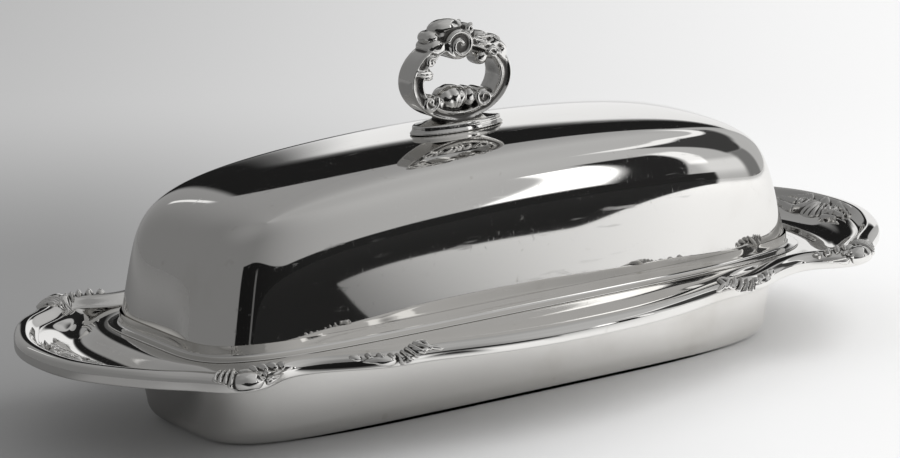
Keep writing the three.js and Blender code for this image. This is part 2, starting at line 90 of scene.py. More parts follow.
def top_of(node):
    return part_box(node)[1]


# Sizes and colours that a user would change. Each gets its name from its key, further down.


def length(description, default):
    return lambda name: FloatProperty(
        name=name, description=description, default=default, min=0.0, precision=5,
        unit="LENGTH", subtype="DISTANCE",
    )


def share(description, default, most=1.0):
    return lambda name: FloatProperty(
        name=name, description=description, default=default, min=0.0, max=most,
    )


def colour(description, default):
    return lambda name: FloatVectorProperty(
        name=name, description=description, default=default, size=3, min=0.0, max=1.0,
        subtype="COLOR",
    )


class SheetSizes(PropertyGroup):
    rim_length: length("Length over both handles", 2 * top_of("handle_rim_right").x)
    rim_width: length("Width over the middle bulges", 2 * top_of("border_rear").y)
    ledge_height: length("Height of the seat over the table", 0.0235)
    thickness: length("Thickness of the drawn sheet", 0.00125)
    foot_length: length("Length of the well at its foot", 0.164)
    foot_width: length("Width of the well at its foot", 0.056)
    flare_along: length("Outward lean of the end walls of the well", 0.003)
    flare_across: length("Outward lean of the side walls of the well", 0.0015)
    foot_radius: length("Outer radius round the foot of the well", 0.005)
    mouth_radius: length("Radius of the bend from the well to the seat", 0.0022)
    squareness: share("How square the corners of the well are", 4.6, 20)
    seat_length: length("Length of the flat seat of the cover", 0.181)
    seat_width: length("Width of the flat seat of the cover", 0.069)
    side_dip: length("Depth of the hollow in the side ledges", 0.0011)
    end_dip: length("Depth of the scoop in the handles", 0.0026)
    side_lift: length("Rise of the side ledges to the rim", 0.0001)
    end_lift: length("Rise of the handles to the rim", 0.0008)


class BorderSizes(PropertyGroup):
    side_width: length("Width of the border along the sides", 0.0076)
    end_width: length("Width of the border round the handles", 0.0058)
    rise: length("Height of the moulding over the sheet", 0.0019)
    lip_drop: length("How far the lip turns down", 0.002)
    lip_thickness: length("Thickness of the turned lip", 0.0011)
    gap: length("Room left for solder between the sheet and the border", 0.0003)


class CastingSizes(PropertyGroup):
    corner_length: length("Length of a corner shell along the border", 0.027)
    corner_reach: length("Reach of a corner shell over the ledge", 0.0034)
    corner_lip: length("Reach of a corner shell down the lip", 0.0016)
    scroll_length: length("Length of a side scroll along the border", 0.03)
    scroll_reach: length("Reach of a side scroll over the ledge", 0.0024)
    scroll_lip: length("Reach of a side scroll down the lip", 0.0017)
    tip_length: length("Length of a tip shell along the border", 0.034)
    tip_reach: length("Reach of a tip shell over the handle", 0.006)
    tip_outer: share("Share of the moulding that a tip shell covers", 0.62)
    seat: length("Height of the casting's skirt over the moulding", 0.0002)
    sink: length("How far the castings sink into the border", 0.0005)


class CoverSizes(PropertyGroup):
    length: length("Length of the cover at its foot", 0.1735)
    width: length("Width of the cover at its foot", 0.062)
    height: length("Height of the cover at its middle", 0.0388)
    thickness: length("Thickness of the cover", 0.0012)
    squareness: share("How square the corners of the cover are", 5.2, 20)
    crown_along: length("Fall of the top towards the ends", 0.0064)
    crown_across: length("Fall of the top towards the sides", 0.0034)
    draft: share("Share by which the walls lean in", 0.08)
    shoulder_power: share("Tightness of the shoulder", 7.5, 20)
    flare_width: length("How far the foot flares out from the wall", 0.0023)
    flare_height: length("Height of the flare of the foot", 0.0032)


class FinialSizes(PropertyGroup):
    ring_width: length("Outer width of the scroll ring", 0.0291)
    ring_height: length("Outer height of the scroll ring", 0.0204)
    band: length("Thickness of the band of the ring", 0.003)
    depth: length("Depth of the ring from front to back", 0.0074)
    foot_length: length("Length of the oval foot", 0.0264)
    foot_width: length("Width of the oval foot", 0.0104)
    foot_height: length("Height of the oval foot", 0.0025)
    voxel: length("Size of the grain that fuses the lobes", 0.0002)


class FasteningSizes(PropertyGroup):
    stud_radius: length("Radius of the stud", 0.0016)
    pitch: length("Pitch of the thread", 0.0007)
    across_flats: length("Width of the nut over its flats", 0.007)


class LinerSizes(PropertyGroup):
    wall: length("Thickness of the glass", 0.0026)
    rise: length("Height of the liner", 0.021)
    squareness: share("How square the corners of the liner are", 5.5, 20)
    rim_width: length("How far the rim stands out", 0.0012)
    rim_height: length("Height of the rim band", 0.0022)


class FinishColours(PropertyGroup):
    silver: colour("Colour of the polished plate", (0.80, 0.79, 0.77))
    cast: colour("Colour of the plated castings", (0.82, 0.81, 0.79))
    tarnish: colour("Colour of the thin tarnish on the plate", (0.50, 0.47, 0.42))
    # The colour of the hollows is old tarnish there, and painted shade as well
    recess: colour("Colour of the old tarnish in the recesses", (0.13, 0.125, 0.12))
    brass: colour("Colour of the turned brass", (0.69, 0.55, 0.30))
    glass: colour("Tint of the pressed glass", (0.93, 0.96, 0.95))
    roughness: share("Roughness of the polished plate", 0.03)
    floor: colour("Colour of the pale floor", (0.88, 0.88, 0.88))


class DishStage(PropertyGroup):
    distance: length("Distance from the camera to the middle of the dish", 1.0918)
    aim_height: length("Height of the point that the distance is taken to", 0.03)
    lens: length("Focal length over a frame 36 mm wide", 0.17818)
    floor_size: length("Half the width of the floor", 4.0)


GROUPS = {
    "sheet": SheetSizes, "border": BorderSizes, "castings": CastingSizes, "cover": CoverSizes,
    "finial": FinialSizes, "fastening": FasteningSizes, "liner": LinerSizes,
    "finishes": FinishColours, "stage": DishStage,
}
for group in GROUPS.values():
    for key, made_as in group.__annotations__.items():
        group.__annotations__[key] = made_as(key.replace("_", " ").capitalize())


class ButterDishSettings(PropertyGroup):
    __annotations__ = {name: PointerProperty(type=group) for name, group in GROUPS.items()}


def settings():
    return bpy.context.scene.butter_dish


# Curves and surfaces


def lerp(low, high, part):
    return low + (high - low) * part


def smooth_step(value, start, end):
    part = np.clip((value - start) / (end - start), 0, 1)
    return part * part * (3 - 2 * part)


def joined(*parts):
    """Coordinates, spread to one shape, side by side in a last axis."""
    return np.stack(np.broadcast_arrays(*parts), axis=-1)


def polar(radius, angle, *more):
    """Places at a radius and an angle, with further coordinates after the first two."""
    return joined(radius * np.cos(angle), radius * np.sin(angle), *more)


def even_turns(steps):
    return np.arange(steps) / steps


def arc(out, up, reach, rise, start, end, steps):
    """Places on an oval bend round a middle, between two angles in quarter turns from outwards."""
    angles = np.linspace(start * QUARTER, end * QUARTER, steps)
    return [(out + reach * math.cos(angle), up + rise * math.sin(angle)) for angle in angles]


class Loop:
    """A closed outline walked at an even pace: turn 0 to 1 is once round it, anticlockwise from +X."""

    def __init__(self, points):
        self.points = np.vstack([points, points[:1]])
        steps = np.linalg.norm(np.diff(self.points, axis=0), axis=1)
        walked = np.concatenate([[0], np.cumsum(steps)])
        self.length = walked[-1]
        self.turns = walked / self.length

    def at(self, turns):
        turns = np.mod(turns, 1)
        return joined(*(np.interp(turns, self.turns, side) for side in self.points.T))


def oblong(length, width, squareness):
    """The outline where |x / half length| and |y / half width|, both to the squareness, add up to 1."""
    angle = np.linspace(0, TURN, FINE_STEPS, endpoint=False)
    along = np.abs(np.cos(angle) / (length / 2)) ** squareness
    across = np.abs(np.sin(angle) / (width / 2)) ** squareness
    radius = (along + across) ** (-1 / squareness)
    return Loop(polar(radius, angle))


def spline_loop(knots):
    """A closed cubic spline: between two knots the bend changes evenly with the length of the chord."""
    count = len(knots)
    following = np.roll(knots, -1, axis=0)
    chord = np.linalg.norm(following - knots, axis=1)
    slope = (following - knots) / chord[:, None]
    row = np.arange(count)
    before = np.roll(chord, 1)
    system = np.zeros((count, count))
    system[row, row] = 2 * (before + chord)
    system[row, row - 1] = before
    system[row, (row + 1) % count] = chord
    bend = np.linalg.solve(system, 6 * (slope - np.roll(slope, 1, axis=0)))
    part = np.linspace(0, 1, SPLINE_STEPS, endpoint=False)[None, :, None]
    rest = 1 - part
    pull = (rest ** 3 - rest) * bend[:, None] + (part ** 3 - part) * np.roll(bend, -1, axis=0)[:, None]
    points = rest * knots[:, None] + part * following[:, None] + chord[:, None, None] ** 2 / 6 * pull
    return Loop(points.reshape(-1, 2))


def rim_loop():
    """The serpentine rim: a spline through the quarter's shares, mirrored into the other three."""
    sheet = settings().sheet
    quarter = np.array(RIM_SHARES) * [sheet.rim_length / 2, sheet.rim_width / 2]
    top = np.array([[0, sheet.rim_width / 2]])
    half = np.vstack([quarter, top, quarter[:0:-1] * [-1, 1]])
    return spline_loop(np.vstack([half, -half]))


def ring_at(outline, turns, height):
    """The outline's places at the turns, all at one height."""
    return joined(*outline.at(turns).T, height)


def solid_mesh(name, rows, ends="poles"):
    """A closed mesh from rows of rings: every ring is joined to the next. The ends are closed by a
    pole in the middle of the end ring, or by joining the last ring to the first. Faces point out."""
    rows = np.asarray(rows, float)
    count, around = rows.shape[:2]
    points = rows.reshape(-1, 3)
    side = np.arange(around)
    after = (side + 1) % around
    row = np.arange(count if ends == "joined" else count - 1)[:, None]
    low, high = row * around, (row + 1) % count * around
    quads = joined(low + side, low + after, high + after, high + side).reshape(-1, 4)
    fans = np.zeros((0, 3), int)
    if ends == "poles":
        pole, last = len(points), (count - 1) * around
        fans = np.vstack([joined(pole, after, side), joined(pole + 1, last + side, last + after)])
        points = np.vstack([points, rows[0].mean(axis=0), rows[-1].mean(axis=0)])
    triangles = np.concatenate([quads[:, [0, 1, 2]], quads[:, [0, 2, 3]], fans])
    a, b, c = points[triangles.T]
    if np.einsum("ij,ij->", a, np.cross(b, c)) < 0:
        quads, fans = quads[:, ::-1], fans[:, ::-1]
    mesh = bpy.data.meshes.new(name)
    mesh.from_pydata(points.tolist(), [], quads.tolist() + fans.tolist())
    mesh.shade_smooth()
    mesh.set_sharp_from_angle(angle=SHARP_ANGLE)
    return mesh


def carried_mesh(name, cut, around, outline_at, base, ends="poles"):
    """A cut of places out and up from a base, carried round outlines that grow with its reach."""
    turns = even_turns(around)
    rows = [ring_at(outline_at(out), turns, base + up) for out, up in cut]
    return solid_mesh(name, rows, ends)


def new_object(name, data):
    item = bpy.data.objects.new(name, data)
    bpy.context.scene.collection.objects.link(item)
    return item


def add_piece(mesh, body, slot, *nodes):
    """An object for the mesh, with its name and its slot's finish, that rides on a body and stands
    for the CAD nodes."""
    piece = new_object(mesh.name, mesh)
    mesh.materials.clear()
    mesh.materials.append(finish_for(slot))
    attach(piece, body)
    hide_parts(*nodes)


def values_of(items, key, width, kind=float):
    """One property of all items as an array, with a row for each."""
    values = np.empty(len(items) * width, kind)
    items.foreach_get(key, values)
    return values.reshape(-1, width)


def mark_recesses(mesh, reach, passes=4):
    """Writes how hollow the surface is at each point: how far the middle of its neighbours stands
    over it along its normal, evened out over some passes, as a share of the reach."""
    points = values_of(mesh.vertices, "co", 3)
    normals = values_of(mesh.vertices, "normal", 3)
    edges = values_of(mesh.edges, "vertices", 2, int)
    count = len(points)
    ends = np.concatenate([edges, edges[:, ::-1]])
    links = np.maximum(np.bincount(ends[:, 0], minlength=count), 1)

    def middle(values):
        return np.bincount(ends[:, 0], values[ends[:, 1]], minlength=count) / links

    smooth = points.copy()
    for _ in range(passes * 3):
        smooth = joined(*map(middle, smooth.T))
    hollow = np.einsum("ij,ij->i", smooth - points, normals)
    for _ in range(passes):
        hollow = (hollow + middle(hollow)) / 2
    layer = mesh.attributes.new("recess", "FLOAT", "POINT")
    layer.data.foreach_set("value", np.clip(0.5 + hollow / reach, 0, 1).astype(np.float32))


# Places on the border and the ledge


class Ledge:
    """Places round the dish. From the rim the border runs square inwards for its width, and from
    its foot the ledge runs straight on to the seat round the well."""

    def __init__(self, turns):
        sheet, border = settings().sheet, settings().border
        self.sheet, self.border, self.rim_curve = sheet, border, rim_loop()
        self.seat_curve = oblong(sheet.seat_length, sheet.seat_width, sheet.squareness)
        self.rim = self.rim_curve.at(turns)
        bend = BEND_SPAN / self.rim_curve.length
        way = self.rim_curve.at(turns + bend) - self.rim_curve.at(turns - bend)
        self.square = joined(-way[..., 1], way[..., 0])
        self.square /= np.linalg.norm(self.square, axis=-1, keepdims=True)
        endness = smooth_step(2 * np.abs(self.rim[..., 0]) / sheet.rim_length, END_START, END_FULL)
        self.width = lerp(border.side_width, border.end_width, endness)
        self.inward = self.seat_curve.at(turns) - self.rim - self.square * self.width[..., None]
        self.run = np.linalg.norm(self.inward, axis=-1)
        self.inward /= self.run[..., None]
        self.dip = lerp(sheet.side_dip, sheet.end_dip, endness)
        self.lift = lerp(sheet.side_lift, sheet.end_lift, endness)
        self.skew = lerp(SIDE_SKEW, END_SKEW, endness)

    def top(self, distance):
        """The sheet's top: one wave of hollow between the seat and the border, deepest near the border
        along the sides, and a rise to the rim."""
        part = np.clip(1 - (distance - self.width) / self.run, 0, 1)
        hollow = (1 - np.cos(part ** self.skew * TURN)) / 2
        return self.sheet.ledge_height - self.dip * hollow + self.lift * part * part

    def place(self, distance, height):
        on_border = np.minimum(distance, self.width)[..., None]
        flat = self.rim + self.square * on_border + self.inward * (distance[..., None] - on_border)
        return joined(flat[..., 0], flat[..., 1], height)

    def walk_over(self, shape):
        """The length of a casting's walk over the moulding, and of all its walk with lip and ledge."""
        arch = shape.outer * HALF * (self.width / 2 + self.border.rise) / 2
        return arch, shape.lip + arch + shape.reach


def turn_at_share(part):
    """The turn in the first quarter where the rim reaches that share of its half length."""
    turns = np.linspace(0, 0.25, FINE_STEPS)
    reach = rim_loop().at(turns)[:, 0] / (settings().sheet.rim_length / 2)
    return float(np.interp(part, reach[::-1], turns[::-1]))


# The dish pan


def well_ring(turns, out, height):
    """The wall of the well at a height: the foot's oblong, grown by its flare with the height."""
    sheet = settings().sheet
    growth = (height - sheet.foot_radius) / (sheet.ledge_height - sheet.foot_radius)
    growth = 2 * min(max(growth, 0), 1)
    long_side = sheet.foot_length + sheet.flare_along * growth + 2 * out
    short_side = sheet.foot_width + sheet.flare_across * growth + 2 * out
    return ring_at(oblong(long_side, short_side, sheet.squareness), turns, height)


def sheet_skin(turns, ledge, drop):
    """One face of the sheet, out from the floor: a round foot, the leaning wall, a round mouth, the
    flat seat and the hollowed ledge. The drop is how far this face lies under the top one."""
    sheet = settings().sheet
    inset = sheet.thickness - drop
    foot, mouth, seat = sheet.foot_radius - inset, sheet.mouth_radius - drop, sheet.ledge_height - drop
    cut = arc(-inset - foot, inset + foot, foot, foot, -1, 0, 10)
    cut += [(-inset, height) for height in np.linspace(sheet.foot_radius, seat - mouth, 6)[1:-1]]
    cut += arc(mouth - inset, seat - mouth, -mouth, mouth, 0, 1, 9)
    rows = [well_ring(turns, 0, inset) * [part, part, 1] for part in (0.25, 0.5, 0.75, 0.9)]
    rows += [well_ring(turns, out, height) for out, height in cut]
    rows.append((rows[-1] + ring_at(ledge.seat_curve, turns, seat)) / 2)
    edge = ledge.border.lip_thickness + ledge.border.gap
    reaches = [ledge.width + (1 - part) * ledge.run for part in np.linspace(0, 1, 30)]
    for distance in reaches + [np.full_like(ledge.width, edge)]:
        rows.append(ledge.place(distance, ledge.top(distance) - drop))
    return rows


def build_pan():
    turns = even_turns(AROUND_DISH)
    ledge = Ledge(turns)
    upper, lower = (sheet_skin(turns, ledge, drop) for drop in (0.0, settings().sheet.thickness))
    return solid_mesh("Pan_sheet", upper + lower[::-1])


# The border and the handle rims


def moulding_lift(part):
    """The moulding's height as a share, at -1 for the rim, 0 for the crown and 1 for its foot on the
    ledge: a quarter ellipse outside, and half a cosine wave inside that runs out level."""
    outside = np.sqrt(np.clip(1 - part * part, 0, 1))
    return np.where(part > 0, (1 + np.cos(HALF * np.clip(part, 0, 1))) / 2, outside)


def border_cut(width):
    """Distance in from the rim and height over the sheet along one cut of the moulding: its lift
    over the whole width, then the lip, rolled in the round at its lower edge."""
    border = settings().border
    part = np.cos(np.linspace(0, HALF, 44))
    drop = border.gap * (part > 0)
    height = (border.rise + drop) * moulding_lift(part) - drop
    radius, low = border.lip_thickness / 2, -border.gap - TOUCH
    roll = arc(radius, radius - border.lip_drop, -radius, -radius, 0, 2, 9)
    return [*zip(width * (1 + part) / 2, height), *roll, (2 * radius, low), (width, low)]


def build_moulding(name, start, end):
    """The cut carried along the rim between two turns, its base on the sheet."""
    turns = np.linspace(start, end, int((end - start) * AROUND_DISH))[:, None]
    ledge = Ledge(turns)
    cuts = np.array([border_cut(width) for width in ledge.width[:, 0]])
    base = ledge.top(np.zeros_like(turns)) + ledge.border.gap
    return solid_mesh(name, ledge.place(cuts[..., 0], base + cuts[..., 1]))


# Reliefs of the castings, in millimetres along the border and across it from the middle

ROUNDNESS = 0.7
RELIEF_FLOOR = 0.3
ROUND_EDGE = 0.09


def merge(layers, softness=0.1):
    """Layers run together as in wax: the softness times the logarithm of the sum of their powers."""
    total = sum(np.exp(layer / softness) for layer in layers) - (len(layers) - 1)
    return softness * np.log(np.maximum(total, 1))


def dome(x, y, middle_x, middle_y, half_x, half_y, height, lean=0.0):
    """A rounded hill: height times 1 less the squared distance from its middle, to the roundness."""
    dx, dy = x - middle_x, y - middle_y
    u = (dx * math.cos(lean) + dy * math.sin(lean)) / half_x
    v = (-dx * math.sin(lean) + dy * math.cos(lean)) / half_y
    return height * np.clip(1 - u * u - v * v, 0, 1) ** ROUNDNESS


def rod(x, y, x0, y0, x1, y1, start_radius, end_radius, height):
    """A tapered rod between two points, with round ends: height times 1 less the squared distance
    from its middle line, as a share of its radius there, to the roundness."""
    way_x, way_y = x1 - x0, y1 - y0
    part = np.clip(((x - x0) * way_x + (y - y0) * way_y) / (way_x ** 2 + way_y ** 2), 0, 1)
    radius = lerp(start_radius, end_radius, part)
    off = np.hypot(x - x0 - part * way_x, y - y0 - part * way_y) / radius
    return height * np.clip(1 - off * off, 0, 1) ** ROUNDNESS


def volute(x, y, middle_x, middle_y, reach, turns, hand, start, height):
    """A curl that winds in to its eye: a ridge along a spiral whose radius shrinks evenly."""
    dx, dy = x - middle_x, y - middle_y
    radius = np.hypot(dx, dy)
    angle = np.mod(hand * np.arctan2(dy, dx) - math.radians(start), TURN) / TURN
    step = reach / turns
    layers = []
    for lap in range(int(turns) + 1):
        wound = np.clip(angle + lap, 0, turns)
        middle = reach - step * wound
        half = 0.42 * step * (1.15 - 0.4 * wound / turns)
        off = (radius - middle) / half
        live = angle + lap <= turns
        layers.append(live * height * np.clip(1 - off * off, 0, 1) ** ROUNDNESS)
    eye = dome(x, y, middle_x, middle_y, 0.5 * step, 0.5 * step, height * 1.1)
    return np.maximum.reduce(layers + [eye])


def fan(x, y, focus_x, focus_y, near, far, first, last, count, height):
    """Ribs that spread from a point between two bearings: rounded rods, highest near their outer end."""
    dx, dy = x - focus_x, y - focus_y
    radius = np.hypot(dx, dy)
    spread = (np.degrees(np.arctan2(dy, dx)) - first) / (last - first)
    ribs = np.abs(np.cos((spread * count - 0.5) * HALF)) ** 0.8
    side = smooth_step(spread, -0.02, 0.03) * smooth_step(1 - spread, -0.02, 0.03)
    out = np.clip((radius - near) / (far - near), 0, 1.2)
    body = np.sqrt(np.clip(1 - ((out - 0.55) / 0.62) ** 2, 0, 1))
    return height * side * body * (0.35 + 0.65 * ribs)


def relief(*hills):
    """Hills run together, each given by its kind and its numbers."""
    return lambda x, y: merge([kind(x, y, *numbers) for kind, *numbers in hills]) - RELIEF_FLOOR


# A smooth lobe over the corner, ribs across the border and a low fan on the handle's side, and
# small scrolls, a tongue and fine dots on the other
corner_relief = relief(
    (dome, -1.9, -4.3, 4.1, 3.1, 1.6, -0.12),
    (dome, -1.6, -0.2, 3.2, 1.8, 0.9, -0.3),
    (fan, -2.6, -2.4, 2.0, 6.4, 104, 176, 4, 0.7),
    (rod, 3.6, -5.4, 12.4, -6.3, 1.3, 0.5, 1.2),
    (rod, 3.6, -4.5, 12.2, -5.7, 0.4, 0.3, 1.3),
    *((rod, -5.3 - 1.5 * k, 0.9 - 0.4 * k, -6.6 - 1.3 * k, -6.2, 0.5, 0.8, 1.15 - 0.12 * k)
      for k in range(4)),
    *((dome, 1.9 + 2.8 * k, -0.7 - 0.9 * k, 0.95 + 0.07 * k, 1.35, 1.35 + 0.1 * k, 0.5)
      for k in range(4)),
    *((dome, along, across, 0.6, 0.6, 1.1)
      for along, across in ((1.5, -3.0), (2.5, -3.6), (1.7, -4.3), (2.7, -4.9), (3.6, -3.2))),
)
# A low lobe with small beads above it, ribs that slant more and more, and a curl with a tail
scroll_relief = relief(
    (dome, -5.4, -5.0, 4.3, 2.1, 1.4, 0.05),
    (dome, 1.4, -5.9, 1.6, 1.1, 1.1),
    (dome, -11.2, -3.4, 1.8, 1.3, 0.8),
    (volute, 5.6, -1.6, 2.2, 1.3, 1, 200, 1.0),
    (rod, 7.4, -2.6, 12.6, -4.6, 0.8, 0.3, 0.95),
    *((rod, -1.2 + 1.4 * k, -3.3 + 0.55 * k, 0.2 + 1.8 * k, -6.2 + 0.75 * k, 0.42, 0.62, 1.15)
      for k in range(5)),
    *((dome, -7.8 + 2.7 * k, -3.0 - 0.25 * k, 1.2, 0.75, 1.35, -0.75) for k in range(3)),
)


def leaves(side):
    """Leafy scrolls beside the tip that follow the handle's inner edge, with small beads."""
    beads = [(dome, side * (9.2 + 2.2 * k), -0.9 - 0.1 * k, 0.9, 0.8, 1.5 - 0.1 * k) for k in range(3)]
    return beads + [
        (volute, side * 6.4, 0.9, 2.7, 1.3, side, 90, 1.7),
        (rod, side * 7.6, 3.4, side * 13.6, 2.4, 1.5, 0.6, 1.5),
        (rod, side * 9.6, 0.4, side * 15.6, 0.4, 1.0, 0.4, 1.4),
        (rod, side * 6.0, -3.0, side * 15.4, -2.0, 0.9, 0.4, 1.2),
    ]


# A scallop at the tip between two sets of leaves
tip_relief = relief(
    (fan, 0.0, -3.6, 1.6, 7.4, 30, 150, 7, 1.7),
    (dome, 0.0, -2.6, 2.4, 1.4, 1.5),
    *leaves(-1), *leaves(1),
)

Shape = namedtuple("Shape", "length reach lip outer lobes lobe_depth relief")


def over_border(ledge, walk_share, shape, offset):
    """A place that share along a walk up the lip, over the moulding and on over the ledge, raised by
    an offset that points outwards on the outer half and straight up on the rest."""
    border, castings = ledge.border, settings().castings
    half = ledge.width / 2
    arch, walk = ledge.walk_over(shape)
    walk = walk_share * walk
    angle = shape.outer * HALF * np.clip(1 - (walk - shape.lip) / arch, 0, 1)
    rise = np.maximum(angle, QUARTER)
    on_ledge = np.maximum(0, walk - shape.lip - arch)
    distance = half + (half + castings.seat) * np.cos(angle) + on_ledge
    rim_top = ledge.top(np.zeros_like(distance))
    skin = rim_top + castings.seat + (border.rise + border.gap) * moulding_lift(np.cos(angle))
    ledge_fall = ledge.top(distance) - rim_top
    lip_fall = np.maximum(0, shape.lip - walk)
    return ledge.place(
        distance + offset * np.cos(rise), skin + ledge_fall - lip_fall + offset * np.sin(rise),
    )


def build_casting(name, turn, hand, shape):
    """Rings of a lobed oval, out from the middle below and back over the relief above. Along the
    border the oval's cosine gives the turn, and across it the sine gives the walk over the border."""
    sink = settings().castings.sink
    angle = even_turns(AROUND_CASTING) * TURN
    lobed = 1 - shape.lobe_depth * (1 - np.abs(np.sin(angle * shape.lobes / 2)))
    under = np.linspace(0.04, 1, 20)
    size = np.concatenate([under, np.linspace(1, 0.01, 64)])[:, None]
    edge = np.clip((1 - size) / ROUND_EDGE, 0, 1)
    size = size * lobed
    along, across = size * np.cos(angle), size * np.sin(angle)
    turns = turn + hand * along * shape.length / 2 / rim_loop().length
    ledge = Ledge(turns)
    walk = ledge.walk_over(shape)[1]
    height = shape.relief(along * shape.length / 2 / MM, across * walk / 2 / MM) * MM
    offset = (height + sink) * np.sqrt(1 - (1 - edge) ** 2) - sink
    offset[: len(under)] = -sink
    mesh = solid_mesh(name, over_border(ledge, (1 + across) / 2, shape, offset))
    mark_recesses(mesh, 0.25 * MM)
    return mesh


# The cover

# How much closer the steps stand in the shoulder, where the dome takes over from its round hole, and
# the form of the flare
BEND_WEIGHT = 0.012
HOLE_BLEND = 0.32
FLARE_EDGE, FLARE_POWER = 0.1, 9


def cover_ring(outline, turns, inset, plan, rise):
    """A ring of the cover: the plan shrinks by a share, leans in with the height, runs into a round
    hole near the middle, and drops with the squares of its places along and across."""
    cover, sheet = settings().cover, settings().sheet
    narrowed = outline.at(turns) * plan * (1 - cover.draft * rise)
    round_hole = polar(settings().fastening.stud_radius, turns * TURN)
    flat = lerp(round_hole, narrowed, smooth_step(plan, 0, HOLE_BLEND))
    along = (2 * flat[:, 0] / cover.length) ** 2
    across = (2 * flat[:, 1] / cover.width) ** 2
    drop = cover.crown_along * along + cover.crown_across * across
    height = sheet.ledge_height + (cover.height - inset - drop) * rise
    return joined(*flat.T, height)


def cover_shares(steps):
    """Shares of the plan and the rise along the cover's cut, a superellipse, at steps that are even
    in its length and closer where it bends."""
    cover = settings().cover
    angle = np.linspace(0, QUARTER, FINE_STEPS)
    plan = np.cos(angle).clip(0) ** (2 / cover.shoulder_power)
    rise = np.sin(angle).clip(0) ** (2 / cover.shoulder_power)
    walked = np.hypot(np.diff(plan) * cover.width / 2, np.diff(rise) * cover.height)
    bend = np.abs(np.diff(np.unwrap(np.arctan2(np.diff(rise), np.diff(plan)))))
    weight = walked + BEND_WEIGHT * np.concatenate([bend, [0]])
    total = np.concatenate([[0], np.cumsum(weight)])
    even = np.interp(np.linspace(0, total[-1], steps), total, angle)
    return np.interp(even, angle, plan), np.interp(even, angle, rise)


def cover_outline(out):
    cover = settings().cover
    return oblong(cover.length + 2 * out, cover.width + 2 * out, cover.squareness)


def build_cover():
    turns = even_turns(AROUND_COVER)
    rows = []
    for inset, steps in ((0, 96), (settings().cover.thickness, 36)):
        outline = cover_outline(-inset)
        skin = [cover_ring(outline, turns, inset, *shares) for shares in zip(*cover_shares(steps))]
        rows += skin[::-1] if inset else skin
    return solid_mesh("Cover_dome", rows, "joined")


def build_foot_flare():
    """A slim flare round the foot: a thin round edge on the seat, then a hollow run up the wall that
    soon nears it, as its reach falls with a high power of the height."""
    cover, half = settings().cover, FLARE_EDGE / 2
    cut = [(-0.1, 0.0)] + arc(0.86, half, 0.14, half, -1, 1, 9)
    for part in np.linspace(0, 1, 20)[1:]:
        out = 0.86 * (1 - part) ** FLARE_POWER - 0.1 * part
        cut.append((out, lerp(FLARE_EDGE, 1, part ** 1.6)))
    cut = [(TOUCH + out * cover.flare_width, up * cover.flare_height) for out, up in cut]
    base = settings().sheet.ledge_height
    return carried_mesh("Cover_foot_flare", cut, AROUND_COVER, cover_outline, base, "joined")


# The finial


def ball(middle, halves, square=2.0, around=64, rings=32):
    """A superellipsoid: sine and cosine of its two angles, to 2 over the squareness in depth."""
    turn = even_turns(around) * TURN
    tilt = np.linspace(-QUARTER, QUARTER, rings + 2)[1:-1, None]
    out = np.abs(np.cos(tilt)) ** (2 / square)
    depth = np.sign(np.sin(tilt)) * np.abs(np.sin(tilt)) ** (2 / square)
    x = middle[0] + halves[0] * out * np.cos(turn)
    z = middle[2] + halves[2] * out * np.sin(turn)
    return joined(x, middle[1] + halves[1] * depth, z)


def tube(path, radii):
    """A round rod carried along a path, thinner or thicker as its radii say."""
    way = np.gradient(path, axis=0)
    way /= np.linalg.norm(way, axis=1, keepdims=True)
    side = np.cross(way, [0, 1, 0])
    side /= np.linalg.norm(side, axis=1, keepdims=True)
    angle = even_turns(20) * TURN
    radii = radii[:, None, None]
    across = np.cos(angle)[None, :, None] * side[:, None, :]
    deep = np.sin(angle)[None, :, None] * np.array([0, 1, 0])
    return path[:, None, :] + radii * (across + deep)


def spiral_path(middle_x, middle_z, depth, reach, turns, start, hand):
    """A spiral in the plane of the ring whose radius shrinks evenly to a fifth."""
    part = np.linspace(0, 1, CURL_STEPS)
    radius = reach * (1 - 0.8 * part)
    angle = start + hand * part * turns * TURN
    return joined(middle_x + radius * np.cos(angle), depth, middle_z + radius * np.sin(angle))


def joined_solids(name, grids):
    """One mesh out of several closed ones, before they are fused."""
    points, faces, base = [], [], 0
    for grid, ends in grids:
        part = solid_mesh("part", grid, ends)
        points.append(values_of(part.vertices, "co", 3))
        faces += [[base + corner for corner in face.vertices] for face in part.polygons]
        base += len(part.vertices)
        bpy.data.meshes.remove(part)
    mesh = bpy.data.meshes.new(name)
    mesh.from_pydata(np.vstack(points).tolist(), [], faces)
    return mesh


def fuse(mesh, voxel):
    """The joined solids remeshed on an even grain, then smoothed: one closed skin."""
    holder = new_object("fused", mesh)
    remesh = holder.modifiers.new("Grain", "REMESH")
    remesh.mode = "VOXEL"
    remesh.voxel_size = voxel
    soften = holder.modifiers.new("Soften", "SMOOTH")
    soften.factor = 0.5
    soften.iterations = 3
    graph = bpy.context.evaluated_depsgraph_get()
    fused = bpy.data.meshes.new_from_object(holder.evaluated_get(graph))
    bpy.data.objects.remove(holder)
    bpy.data.meshes.remove(mesh)
    return fused


